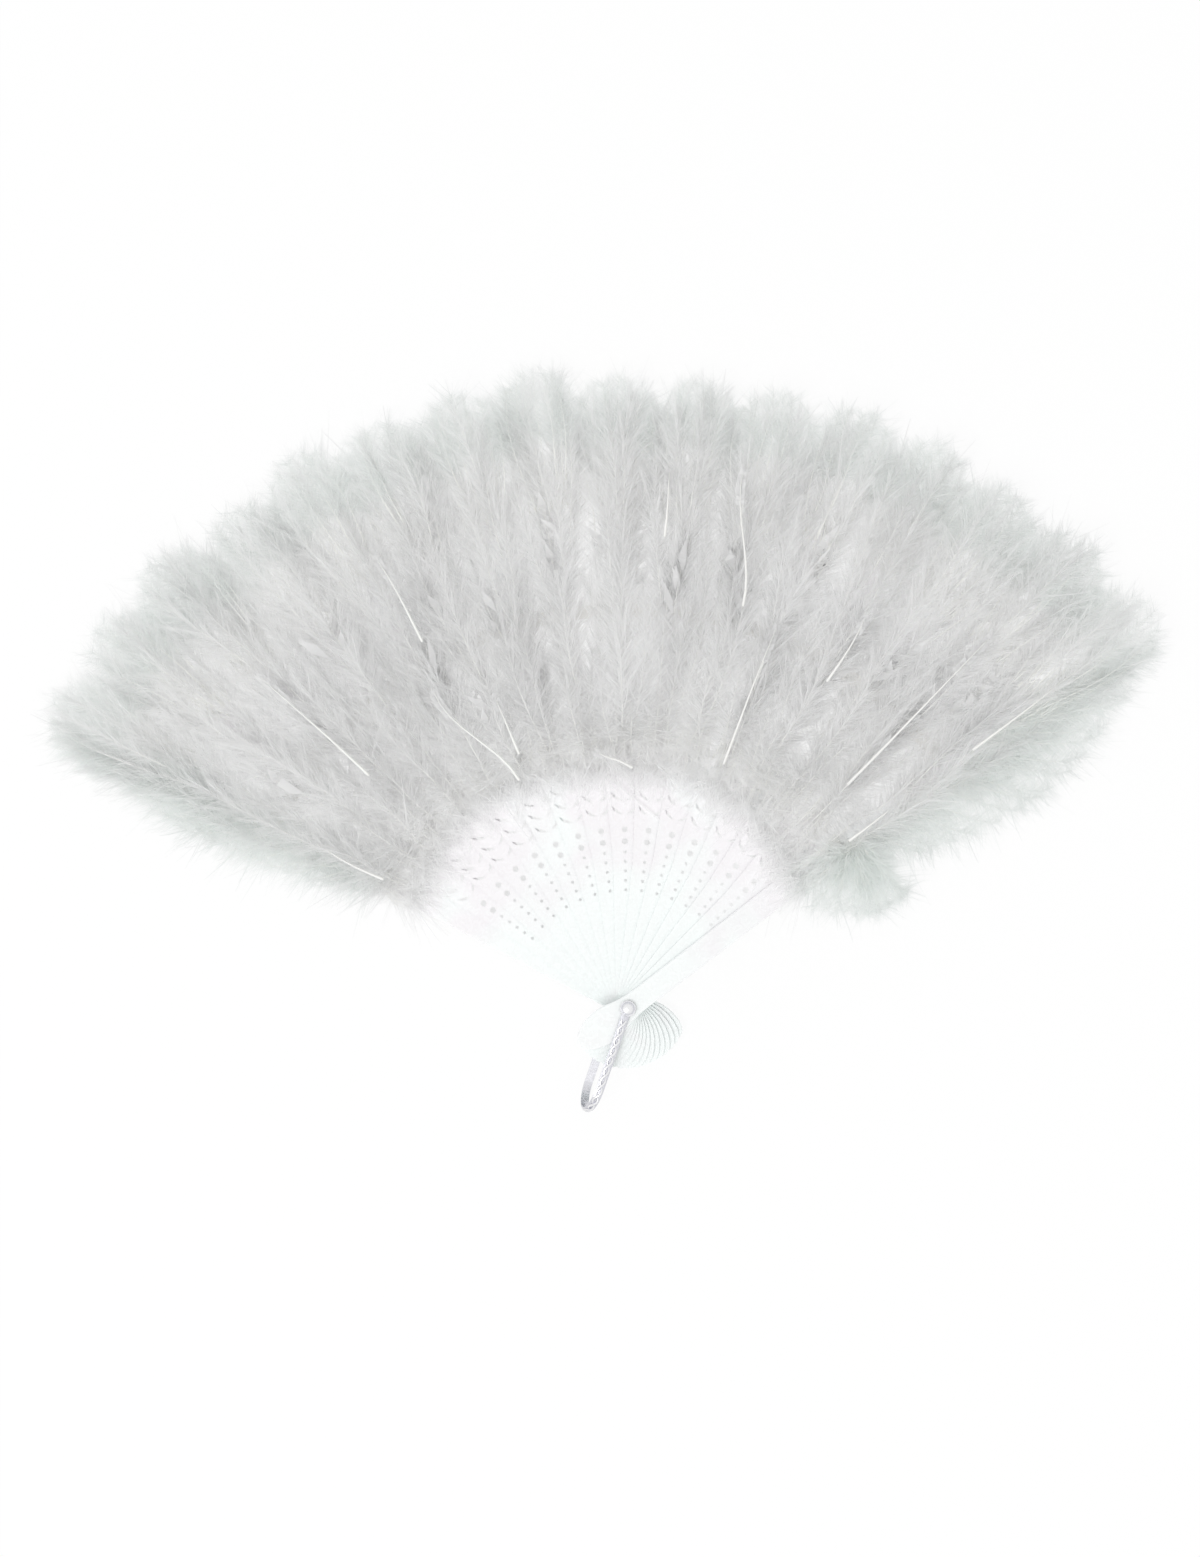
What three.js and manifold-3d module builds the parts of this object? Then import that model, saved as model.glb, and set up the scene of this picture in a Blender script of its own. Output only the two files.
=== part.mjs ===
// A folding fan of white down: fourteen pierced sticks between two plain guards on one rivet, a plume
// on every blade, a ribbon that links the blades and a bail to hang it by.
// Millimetres. The open fan lies with its front up. The origin is on the rivet's axis, in the plane
// that the fan rests on; +Y is the open fan's centre line and +Z runs along the rivet to the front.

import * as THREE from 'three';
import { mergeVertices } from 'three/addons/utils/BufferGeometryUtils.js';
import Module from 'manifold-3d';

const wasm = await Module();
wasm.setup();

// Fan
const STICK_COUNT = 14;
const SPREAD_DEGREES = 114.75;
const CLEARANCE = 0.3;

// Blades: the outline that sticks and guards share, measured from the rivet
const HEAD_LENGTH = 26;
const HEAD_WIDTH = 15;
const HEAD_BELLY = 12;
const WAIST_WIDTH = 9.6;
const WAIST_RISE = 7;
const FLARE_RADIUS = 62;
const SHOULDER_RADIUS = 101;
const SHOULDER_RUN = 11;
const RIB_LENGTH = 103;

// Inner sticks
const STICK_THICKNESS = 0.7;
const FLARE_WIDTH = 10.2;
const GORGE_WIDTH = 17;
const RIB_WIDTH = 6;
const RIB_TIP_WIDTH = 4;

// Guards
const GUARD_THICKNESS = 2.2;
const GUARD_FLARE_WIDTH = 10;
const GUARD_WIDTH = 10.4;
const GUARD_RIB_WIDTH = 7;
const GUARD_TIP_WIDTH = 5;
const GUARD_BEVEL = 0.4;

// Piercing of the sticks, set out inwards from the shoulder
const PIERCE_MARGIN = 4;
const PIERCE_WALL = 1.7;
const SLIT_ROWS = 3;
const SLIT_SPACING = 6;
const SLIT_INSET = 0.9;
const SLIT_RISE = 3.6;
const SLIT_WIDTH = 1;
const SLIT_BOW = 0.5;
const EYELET_COUNT = 2;
const EYELET_DIAMETER = 2.6;
const EYELET_SPACING = 5;
const EYELET_GAP = 6.4;
const DOT_COUNT = 5;
const DOT_DIAMETER = 1.4;
const DOT_SPACING = 4;
const DOT_GAP = 4.5;

// Rivet
const PIN_DIAMETER = 3;
const RIVET_HEAD_DIAMETER = 6.6;
const RIVET_HEAD_THICKNESS = 1.2;
const CAP_DIAMETER = 5.4;
const CAP_HEIGHT = 2.2;
const CAP_CROWN = 0.8;

// Bail
const BAIL_WIDTH = 3.4;
const BAIL_THICKNESS = 1.2;
const BAIL_EYE_DIAMETER = 6.8;
const BAIL_DROP = 10;
const BAIL_BOW = 5;
const BAIL_LEAN_DEGREES = 23.8;
const BAIL_STEPS = 30;

// Ribbon, threaded through a window in each stick's rib
const RIBBON_RISE = 56;
const RIBBON_WIDTH = 5;
const RIBBON_THICKNESS = 0.25;
const WINDOW_WIDTH = 1.5;
const RIBBON_LAP = 0.8;

// Plumes
const PLUME_GAP = 0.4;
const PLUME_LIP = 1.2;
const PLUME_COVER_REAR = 14.8;
const PLUME_COVER_FRONT = 5.3;
const PLUME_OVERHANG = 47;
const PLUME_SIDE_GAIN = 7;
const PLUME_ROOT_RUN = 36;
const PLUME_ROOT_FULLNESS = 0.75;
const PLUME_TIP_RUN = 22;
const PLUME_TIP_FULLNESS = 0.4;
const PLUME_EDGE = 7;
const FRINGE_WIDTH_REAR = 22;
const FRINGE_WIDTH_FRONT = 28;

// Places worked out from the sizes
const bladeCount = STICK_COUNT + 2;
const lastBlade = bladeCount - 1;
const spread = THREE.MathUtils.degToRad(SPREAD_DEGREES);
const pitch = spread / lastBlade;
const ribStart = SHOULDER_RADIUS + SHOULDER_RUN;
const ribTip = ribStart + RIB_LENGTH;
const ribbonRadius = ribStart + RIBBON_RISE;
const rearEyeBase = RIVET_HEAD_THICKNESS + CLEARANCE;
const rearGuardBase = rearEyeBase + BAIL_THICKNESS + CLEARANCE;
const firstStickBase = rearGuardBase + GUARD_THICKNESS + CLEARANCE;
const frontGuardBase = firstStickBase + STICK_COUNT * (STICK_THICKNESS + CLEARANCE);
const frontEyeBase = frontGuardBase + GUARD_THICKNESS + CLEARANCE;
const capBase = frontEyeBase + BAIL_THICKNESS + CLEARANCE;

const pearl = new THREE.MeshStandardMaterial({ color: 0xf4f6f6, roughness: 0.32, metalness: 0 });
const down = new THREE.MeshStandardMaterial({ color: 0xe4e5e3, roughness: 0.95, metalness: 0 });
const nickel = new THREE.MeshStandardMaterial({ color: 0xc8c9cb, roughness: 0.28, metalness: 1 });
const satin = new THREE.MeshStandardMaterial({ color: 0xf0f0ee, roughness: 0.55, metalness: 0 });

const fan = new THREE.Group();

// Adds a piece to the fan, turned about the rivet.
function place(name, geometry, material, turn, rise = 0) {
  const piece = new THREE.Mesh(geometry, material);
  piece.name = name;
  piece.rotation.z = turn;
  piece.position.z = rise;
  fan.add(piece);
}

// A closed geometry as a solid that can be cut and joined.
function solid(geometry) {
  const bare = geometry.clone();
  bare.deleteAttribute('normal');
  bare.deleteAttribute('uv');
  const merged = mergeVertices(bare, 1e-4);
  const mesh = new wasm.Mesh({
    numProp: 3,
    vertProperties: new Float32Array(merged.attributes.position.array),
    triVerts: new Uint32Array(merged.index.array),
  });
  return new wasm.Manifold(mesh);
}

// The solid back as a geometry for a mesh.
function surface(body) {
  const mesh = body.getMesh();
  const geometry = new THREE.BufferGeometry();
  geometry.setAttribute('position', new THREE.BufferAttribute(mesh.vertProperties, 3));
  geometry.setIndex(new THREE.BufferAttribute(mesh.triVerts, 1));
  geometry.computeVertexNormals();
  return geometry;
}

// Blades are counted from the rear guard, which lies lowest and furthest to the left.
const isGuard = (blade) => blade === 0 || blade === lastBlade;
const bladeTurn = (blade) => spread / 2 - blade * pitch;
const bladeThickness = (blade) => (isGuard(blade) ? GUARD_THICKNESS : STICK_THICKNESS);

function bladeBase(blade) {
  if (blade === 0) return rearGuardBase;
  return firstStickBase + (blade - 1) * (STICK_THICKNESS + CLEARANCE);
}

const bladeTop = (blade) => bladeBase(blade) + bladeThickness(blade);

// From the waist a blade widens slowly to the flare, and then faster to the shoulder.
function gorgeWidth(blade, radius) {
  const [flare, shoulder] = isGuard(blade) ? [GUARD_FLARE_WIDTH, GUARD_WIDTH] : [FLARE_WIDTH, GORGE_WIDTH];
  return radius < FLARE_RADIUS
    ? THREE.MathUtils.mapLinear(radius, WAIST_RISE, FLARE_RADIUS, WAIST_WIDTH, flare)
    : THREE.MathUtils.mapLinear(radius, FLARE_RADIUS, SHOULDER_RADIUS, flare, shoulder);
}

function ribWidth(blade, radius) {
  const along = (radius - ribStart) / RIB_LENGTH;
  const [root, tip] = isGuard(blade) ? [GUARD_RIB_WIDTH, GUARD_TIP_WIDTH] : [RIB_WIDTH, RIB_TIP_WIDTH];
  return THREE.MathUtils.lerp(root, tip, along);
}

// Leaf-shaped head, narrow waist at the rivet, gorge that widens to the shoulder, tapered rib.
function bladeOutline(blade) {
  const belly = HEAD_WIDTH / 2;
  const waist = WAIST_WIDTH / 2;
  const flare = gorgeWidth(blade, FLARE_RADIUS) / 2;
  const gorge = gorgeWidth(blade, SHOULDER_RADIUS) / 2;
  const root = ribWidth(blade, ribStart) / 2;
  const tip = ribWidth(blade, ribTip) / 2;
  const neck = SHOULDER_RADIUS + SHOULDER_RUN / 2;
  const cheek = -(HEAD_BELLY + HEAD_LENGTH) / 2;
  const outline = new THREE.Shape();
  outline.moveTo(0, -HEAD_LENGTH);
  outline.bezierCurveTo(belly / 2, -HEAD_LENGTH, belly, cheek, belly, -HEAD_BELLY);
  outline.bezierCurveTo(belly, -HEAD_BELLY / 2, waist, -HEAD_BELLY / 3, waist, WAIST_RISE);
  outline.lineTo(flare, FLARE_RADIUS);
  outline.lineTo(gorge, SHOULDER_RADIUS);
  outline.bezierCurveTo(gorge, neck, root, neck, root, ribStart);
  outline.lineTo(tip, ribTip - tip);
  outline.lineTo(tip / 2, ribTip);
  outline.lineTo(-tip / 2, ribTip);
  outline.lineTo(-tip, ribTip - tip);
  outline.lineTo(-root, ribStart);
  outline.bezierCurveTo(-root, neck, -gorge, neck, -gorge, SHOULDER_RADIUS);
  outline.lineTo(-flare, FLARE_RADIUS);
  outline.lineTo(-waist, WAIST_RISE);
  outline.bezierCurveTo(-waist, -HEAD_BELLY / 3, -belly, -HEAD_BELLY / 2, -belly, -HEAD_BELLY);
  outline.bezierCurveTo(-belly, cheek, -belly / 2, -HEAD_LENGTH, 0, -HEAD_LENGTH);
  outline.holes.push(roundHole(0, PIN_DIAMETER + 2 * CLEARANCE, 12));
  return outline;
}

// A round hole on a blade's centre line.
function roundHole(radius, diameter, sides) {
  const points = [];
  for (let side = 0; side < sides; side += 1) {
    const angle = (2 * Math.PI * side) / sides;
    points.push(new THREE.Vector2(0, radius).add(new THREE.Vector2(Math.cos(angle), Math.sin(angle))
      .multiplyScalar(diameter / 2)));
  }
  return new THREE.Path(points);
}

// One arm of a chevron: a crescent slit that climbs from the centre line towards the stick's edge.
function slit(blade, radius, side) {
  const inner = new THREE.Vector2(SLIT_INSET, radius - SLIT_RISE);
  const outer = new THREE.Vector2(gorgeWidth(blade, radius) / 2 - PIERCE_WALL, radius);
  const across = outer.clone().sub(inner).rotateAround(new THREE.Vector2(), Math.PI / 2).normalize();
  const edge = (offset) => [1 / 3, 2 / 3].map((part) => inner.clone().lerp(outer, part)
    .addScaledVector(across, offset));
  const points = [inner, ...edge(-SLIT_BOW - SLIT_WIDTH / 2), outer];
  points.push(...edge(-SLIT_BOW + SLIT_WIDTH / 2).reverse());
  return new THREE.Path(points.map((point) => new THREE.Vector2(side * point.x, point.y)));
}

// Chevrons below the shoulder, then eyelets, then a row of dots towards the rivet.
function pierce(blade, outline) {
  let radius = SHOULDER_RADIUS - PIERCE_MARGIN;
  for (let row = 0; row < SLIT_ROWS; row += 1) {
    outline.holes.push(slit(blade, radius, 1), slit(blade, radius, -1));
    radius -= SLIT_SPACING;
  }
  radius += SLIT_SPACING - SLIT_RISE - EYELET_GAP;
  for (let eyelet = 0; eyelet < EYELET_COUNT; eyelet += 1) {
    outline.holes.push(roundHole(radius, EYELET_DIAMETER, 8));
    radius -= EYELET_SPACING;
  }
  radius += EYELET_SPACING - DOT_GAP;
  for (let dot = 0; dot < DOT_COUNT; dot += 1) {
    outline.holes.push(roundHole(radius, DOT_DIAMETER, 6));
    radius -= DOT_SPACING;
  }
}

// The window that the ribbon is threaded through.
function ribbonWindow() {
  const halfWidth = WINDOW_WIDTH / 2;
  const halfLength = RIBBON_WIDTH / 2 + CLEARANCE;
  const corners = [[-1, -1], [1, -1], [1, 1], [-1, 1]];
  return new THREE.Path(corners.map(([across, along]) => new THREE.Vector2(
    across * halfWidth, ribbonRadius + along * halfLength)));
}

function stickGeometry(blade) {
  const outline = bladeOutline(blade);
  pierce(blade, outline);
  outline.holes.push(ribbonWindow());
  return new THREE.ExtrudeGeometry(outline, {
    depth: STICK_THICKNESS,
    bevelEnabled: false,
    curveSegments: 5,
  });
}

function guardGeometry(blade) {
  const geometry = new THREE.ExtrudeGeometry(bladeOutline(blade), {
    depth: GUARD_THICKNESS - 2 * GUARD_BEVEL,
    bevelThickness: GUARD_BEVEL,
    bevelSize: GUARD_BEVEL,
    bevelOffset: -GUARD_BEVEL,
    bevelSegments: 1,
    curveSegments: 6,
  });
  return geometry.translate(0, 0, GUARD_BEVEL);
}

// The ribbon between one blade and the next: it leaves the front of the left blade, where its end is
// turned down through the window, and lies against the back of the right one.
function ribbonGeometry(rightBlade, grow = 0) {
  const leftBlade = rightBlade - 1;
  const reach = ribbonRadius * Math.sin(pitch / 2);
  const leftTop = bladeTop(leftBlade) + CLEARANCE + RIBBON_THICKNESS;
  const rightTop = bladeBase(rightBlade) - CLEARANCE;
  const half = RIBBON_THICKNESS / 2;
  const end = reach + RIBBON_LAP + grow;
  const profile = new THREE.Shape();
  if (isGuard(leftBlade) || grow > 0) {
    profile.moveTo(-end, leftTop - RIBBON_THICKNESS - grow);
  } else {
    profile.moveTo(-reach - half, bladeBase(leftBlade));
    profile.lineTo(-reach + half, bladeBase(leftBlade));
    profile.lineTo(-reach + half, leftTop - RIBBON_THICKNESS);
  }
  profile.lineTo(end, rightTop - RIBBON_THICKNESS - grow);
  profile.lineTo(end, rightTop + grow);
  profile.lineTo(isGuard(leftBlade) || grow > 0 ? -end : -reach - half, leftTop + grow);
  const width = RIBBON_WIDTH + 2 * grow;
  const geometry = new THREE.ExtrudeGeometry(profile, { depth: width, bevelEnabled: false });
  return geometry.rotateX(Math.PI / 2).translate(0, ribbonRadius * Math.cos(pitch / 2) + width / 2, 0);
}

// A plume reaches a little further on the blades near the guards, and the plumes' tops climb less than the
// blades do, because the down of the lower blades comes up between them.
const plumeStart = ribStart + PLUME_LIP;
const plumeReach = (blade) => ribTip + PLUME_OVERHANG + PLUME_SIDE_GAIN * ((2 * blade) / lastBlade - 1) ** 2;

function plumeTop(blade) {
  const rear = bladeTop(0) + PLUME_COVER_REAR;
  const front = bladeTop(lastBlade) + PLUME_COVER_FRONT;
  return THREE.MathUtils.lerp(rear, front, blade / lastBlade);
}

// A plume's cross-section at a radius, as a ring of points: a pillow that fills the blade's sector, drawn
// in round the rib at its root and rounded off at its tip, with a fringe on the outer side of a guard.
function plumeRing(blade, radius) {
  const toRoot = Math.max(0, 1 - (radius - plumeStart) / PLUME_ROOT_RUN);
  const toTip = Math.max(0, 1 - (plumeReach(blade) - radius) / PLUME_TIP_RUN);
  const rootRound = Math.sqrt(1 - toRoot ** 2);
  const tipScale = THREE.MathUtils.lerp(PLUME_TIP_FULLNESS, 1, Math.sqrt(1 - toTip ** 2));
  const scale = THREE.MathUtils.lerp(PLUME_ROOT_FULLNESS, 1, rootRound) * tipScale;
  const sector = radius * Math.tan(pitch / 2) - PLUME_GAP / 2;
  const left = (blade === 0 ? FRINGE_WIDTH_REAR : sector) * scale;
  const right = (blade === lastBlade ? FRINGE_WIDTH_FRONT : sector) * scale;
  const low = THREE.MathUtils.lerp(bladeBase(blade) - PLUME_LIP, 0, rootRound);
  const high = THREE.MathUtils.lerp(bladeTop(blade) + PLUME_LIP, plumeTop(blade), rootRound);
  const middle = (low + high) / 2;
  const halfDepth = ((high - low) / 2) * tipScale;
  const edge = Math.min(PLUME_EDGE, halfDepth / 2, (left + right) / 3);
  const corners = [[right, -1], [right, 1], [-left, 1], [-left, -1]];
  const ring = [];
  corners.forEach(([across, up], corner) => {
    const centre = new THREE.Vector2(across - Math.sign(across) * edge, middle + up * (halfDepth - edge));
    for (let step = 0; step < 3; step += 1) {
      const angle = (corner - 1) * (Math.PI / 2) + step * (Math.PI / 4);
      const x = centre.x + edge * Math.cos(angle);
      const z = centre.y + edge * Math.sin(angle);
      ring.push(new THREE.Vector3(x, radius, z));
    }
  });
  return ring;
}

// A closed form through rings of points, each ring turning against the way that the rings follow.
function loft(rings) {
  const sides = rings[0].length;
  const index = [];
  for (let ring = 0; ring + 1 < rings.length; ring += 1) {
    for (let side = 0; side < sides; side += 1) {
      const a = ring * sides + side;
      const b = ring * sides + ((side + 1) % sides);
      index.push(a, a + sides, b, b, a + sides, b + sides);
    }
  }
  const last = (rings.length - 1) * sides;
  for (let side = 1; side + 1 < sides; side += 1) {
    index.push(0, side, side + 1);
    index.push(last, last + side + 1, last + side);
  }
  const geometry = new THREE.BufferGeometry().setFromPoints(rings.flat());
  geometry.setIndex(index);
  return geometry;
}

function plumeForm(blade) {
  const reach = plumeReach(blade);
  const radii = [
    plumeStart,
    plumeStart + PLUME_ROOT_RUN / 4,
    plumeStart + PLUME_ROOT_RUN,
    reach - PLUME_TIP_RUN,
    reach - PLUME_TIP_RUN / 2,
    reach - PLUME_TIP_RUN / 8,
    reach,
  ];
  return loft(radii.map((radius) => plumeRing(blade, radius)));
}

// The room that a plume leaves for its own rib.
function ribRoom(blade) {
  const from = SHOULDER_RADIUS;
  const to = ribTip + CLEARANCE;
  const wide = ribWidth(blade, from) / 2 + CLEARANCE;
  const narrow = ribWidth(blade, to) / 2 + CLEARANCE;
  const outline = new THREE.Shape();
  outline.moveTo(-wide, from);
  outline.lineTo(wide, from);
  outline.lineTo(narrow, to);
  outline.lineTo(-narrow, to);
  const depth = bladeThickness(blade) + 2 * CLEARANCE;
  const geometry = new THREE.ExtrudeGeometry(outline, { depth, bevelEnabled: false });
  return geometry.translate(0, 0, bladeBase(blade) - CLEARANCE);
}

function plumeGeometry(blade) {
  const rooms = [ribRoom(blade)];
  if (blade > 0) rooms.push(ribbonGeometry(blade, CLEARANCE).rotateZ(pitch / 2));
  if (blade < lastBlade) rooms.push(ribbonGeometry(blade + 1, CLEARANCE).rotateZ(-pitch / 2));
  return surface(rooms.reduce((body, room) => body.subtract(solid(room)), solid(plumeForm(blade))));
}

// A turned piece from a profile of [radius, height] pairs.
function turned(profile) {
  const points = profile.map(([radius, height]) => new THREE.Vector2(radius, height));
  return new THREE.LatheGeometry(points, 20).rotateX(Math.PI / 2);
}

function rivetPinGeometry() {
  const shank = PIN_DIAMETER / 2;
  const head = RIVET_HEAD_DIAMETER / 2;
  const top = capBase + CAP_HEIGHT - CAP_CROWN - CLEARANCE;
  return turned([
    [0, 0],
    [head, 0],
    [head, RIVET_HEAD_THICKNESS],
    [shank, RIVET_HEAD_THICKNESS],
    [shank, top],
    [0, top],
  ]);
}

// A domed cap with a blind socket that is pressed over the pin.
function rivetCapGeometry() {
  const socket = PIN_DIAMETER / 2 + CLEARANCE;
  const rim = CAP_DIAMETER / 2;
  const ceiling = CAP_HEIGHT - CAP_CROWN;
  const dome = [0, 1, 2, 3, 4].map((step) => {
    const angle = (step / 4) * (Math.PI / 2);
    return [rim * Math.cos(angle), ceiling / 2 + (CAP_HEIGHT - ceiling / 2) * Math.sin(angle)];
  });
  dome[dome.length - 1][0] = 0;
  return turned([[0, ceiling], [socket, ceiling], [socket, 0], [rim, 0], ...dome]);
}

// A flat eye round the pin at an end of the bail.
function bailEye(base) {
  const outline = new THREE.Shape();
  outline.absarc(0, 0, BAIL_EYE_DIAMETER / 2, 0, 2 * Math.PI);
  outline.holes.push(roundHole(0, PIN_DIAMETER + 2 * CLEARANCE, 12));
  const geometry = new THREE.ExtrudeGeometry(outline, {
    depth: BAIL_THICKNESS,
    bevelEnabled: false,
    curveSegments: 8,
  });
  return geometry.translate(0, 0, base);
}

// A strip, flat inside and rounded outside, bent from the front eye round the heads to the rear eye.
// It hangs along -Y here; its rear leg bows to one side.
function bailStrip() {
  const front = frontEyeBase + BAIL_THICKNESS / 2;
  const rear = rearEyeBase + BAIL_THICKNESS / 2;
  const middle = (front + rear) / 2;
  const bend = (front - rear) / 2;
  const straight = HEAD_LENGTH + BAIL_DROP;
  const start = (BAIL_EYE_DIAMETER + PIN_DIAMETER) / 4;
  const route = [[0, start, front], [0, straight / 2, front], [0, straight, front]];
  for (let step = 1; step < 6; step += 1) {
    const angle = (step / 6) * Math.PI;
    route.push([
      BAIL_BOW * (step / 6) ** 2,
      straight + bend * Math.sin(angle),
      middle + bend * Math.cos(angle),
    ]);
  }
  route.push([BAIL_BOW, straight, rear], [BAIL_BOW, straight / 2, rear], [0, start, rear]);
  const points = route.map(([aside, along, height]) => new THREE.Vector3(-aside, -along, height));
  const curve = new THREE.CatmullRomCurve3(points);
  const section = [[-BAIL_WIDTH / 2, -BAIL_THICKNESS / 2]];
  for (let step = 0; step <= 6; step += 1) {
    const angle = Math.PI * (1 - step / 6);
    section.push([(BAIL_WIDTH / 2) * Math.cos(angle), (BAIL_THICKNESS / 2) * Math.sin(angle)]);
  }
  section.push([BAIL_WIDTH / 2, -BAIL_THICKNESS / 2]);
  const rings = [];
  for (let step = 0; step <= BAIL_STEPS; step += 1) {
    const point = curve.getPointAt(step / BAIL_STEPS);
    const along = curve.getTangentAt(step / BAIL_STEPS);
    const across = new THREE.Vector3(1, 0, 0).projectOnPlane(along).normalize();
    const out = along.clone().cross(across);
    rings.push(section.map(([x, y]) => point.clone().addScaledVector(across, x).addScaledVector(out, y)));
  }
  return loft(rings);
}

function bailGeometry() {
  const eyes = solid(bailEye(frontEyeBase)).add(solid(bailEye(rearEyeBase)));
  return surface(solid(bailStrip()).add(eyes));
}

const twoDigits = (count) => String(count).padStart(2, '0');

function bladeName(blade) {
  if (blade === 0) return 'rear_guard';
  if (blade === lastBlade) return 'front_guard';
  return `stick_${twoDigits(blade)}`;
}

for (let blade = 0; blade < bladeCount; blade += 1) {
  const geometry = isGuard(blade) ? guardGeometry(blade) : stickGeometry(blade);
  place(bladeName(blade), geometry, pearl, bladeTurn(blade), bladeBase(blade));
  place(`plume_${bladeName(blade)}`, plumeGeometry(blade), down, bladeTurn(blade));
  if (blade > 0) {
    place(`ribbon_${twoDigits(blade)}`, ribbonGeometry(blade), satin, bladeTurn(blade - 0.5));
  }
}
place('rivet_pin', rivetPinGeometry(), nickel, 0);
place('rivet_cap', rivetCapGeometry(), nickel, 0, capBase);
place('bail', bailGeometry(), nickel, -THREE.MathUtils.degToRad(BAIL_LEAN_DEGREES));

export default fan;
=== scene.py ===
import math
import random

import bpy
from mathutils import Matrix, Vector


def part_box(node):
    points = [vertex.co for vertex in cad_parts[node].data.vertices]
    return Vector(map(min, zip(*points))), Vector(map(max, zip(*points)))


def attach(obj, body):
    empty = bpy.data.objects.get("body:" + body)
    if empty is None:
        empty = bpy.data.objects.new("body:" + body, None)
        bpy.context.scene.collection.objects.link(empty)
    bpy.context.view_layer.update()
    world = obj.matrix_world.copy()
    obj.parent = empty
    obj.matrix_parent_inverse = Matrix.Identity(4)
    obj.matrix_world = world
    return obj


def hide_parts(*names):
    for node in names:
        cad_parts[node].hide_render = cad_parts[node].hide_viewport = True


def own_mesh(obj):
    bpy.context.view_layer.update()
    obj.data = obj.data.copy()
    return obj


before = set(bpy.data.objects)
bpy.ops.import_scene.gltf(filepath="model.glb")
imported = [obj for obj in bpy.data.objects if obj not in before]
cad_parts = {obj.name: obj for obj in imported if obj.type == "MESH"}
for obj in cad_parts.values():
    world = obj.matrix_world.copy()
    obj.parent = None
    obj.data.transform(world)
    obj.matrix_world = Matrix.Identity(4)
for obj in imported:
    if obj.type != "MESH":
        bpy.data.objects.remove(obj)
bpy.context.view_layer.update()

# Blades: two guards and fourteen sticks of pearl polystyrene, injection moulded with their piercing and
# stacked on one rivet. They are the CAD solids, and only their finish is added here.
STICKS = sum(name.startswith("stick_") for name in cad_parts)
BLADES = ["rear_guard", *(f"stick_{number:02d}" for number in range(1, STICKS + 1)), "front_guard"]
# The rose is the pigment's tint, and it is also painted darker than the mint, as painted shade from the down.
PEARL_ROSE_SHADED = "#F4F2F4"
PEARL_MINT = "#F7FCFB"
PEARL_ROUGHNESS = (0.20, 0.34)
# How wide the clouds, the flow lines and the grain are, how high the grain is, and how deep light enters.
PEARL_CLOUD = 0.028
PEARL_FLOW = 0.004
PEARL_GRAIN = 0.0009
PEARL_RELIEF = 0.0002
PEARL_DEPTH = 0.0007
# Between these distances from the rivet the clouds shift from mint to a rose that is painted darker as
# painted shade from the down, by the trend at either end.
MINT_END = 0.040
SHADED_ROSE_START = 0.085
TINT_AND_SHADE_TREND = 0.15
# The skin is all shaded rose up to the first value of the clouds, and all mint from the second.
ALL_SHADED_ROSE = 0.35
ALL_MINT = 0.62
# Most of a noise's values lie in this range.
NOISE_RANGE = (0.3, 0.7)


def linear(code):
    """An sRGB hex colour in the linear light that a shader takes."""
    parts = [int(code[start:start + 2], 16) / 255 for start in (1, 3, 5)]
    return *(part / 12.92 if part <= 0.04045 else ((part + 0.055) / 1.055) ** 2.4 for part in parts), 1.0


def add(tree, kind, inputs=None, **settings):
    """One node with its settings. An input takes a value, a node, a node's output, or a list of these."""
    made = tree.nodes.new(kind)
    for name, value in settings.items():
        setattr(made, name, value)
    for name, value in (inputs or {}).items():
        for source in value if isinstance(value, list) else [value]:
            if isinstance(source, bpy.types.Node):
                source = next(output for output in source.outputs if output.enabled)
            if isinstance(source, bpy.types.NodeSocket):
                tree.links.new(source, made.inputs[name])
            else:
                made.inputs[name].default_value = source
    return made


def numbers(tree, operation, *values):
    """A node that works on numbers."""
    return add(tree, "ShaderNodeMath", dict(enumerate(values)), operation=operation)


def vectors(tree, operation, *values):
    """A node that works on vectors. When it scales one, the second value is the factor."""
    places = (0, "Scale") if operation == "SCALE" else range(len(values))
    return add(tree, "ShaderNodeVectorMath", dict(zip(places, values)), operation=operation)


def spread(tree, value, given, wanted):
    """A node that takes a value from the given range to the wanted one, and keeps it inside that."""
    return add(tree, "ShaderNodeMapRange", {
        "Value": value, "From Min": given[0], "From Max": given[1], "To Min": wanted[0], "To Max": wanted[1]})


def material(name):
    """An empty material and its tree."""
    made = bpy.data.materials.new(name)
    made.use_nodes = True
    made.node_tree.nodes.clear()
    return made, made.node_tree


def dress(node, finish):
    """Gives a CAD solid its finish."""
    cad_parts[node].data.materials.clear()
    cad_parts[node].data.materials.append(finish)


# Moulded polystyrene with a pearl pigment: a glossy near-white skin, mint by the rivet and rose near the
# down with slow clouds between, the rose also painted darker as painted shade from the down, and faint flow
# lines that only the gloss shows.
pearl, tree = material("pearl_polystyrene")
where = add(tree, "ShaderNodeTexCoord").outputs["Object"]
cloud = add(tree, "ShaderNodeTexNoise", {
    "Vector": where, "Scale": 1 / PEARL_CLOUD, "Detail": 3.0, "Distortion": 0.6})
away = vectors(tree, "LENGTH", where)
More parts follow.
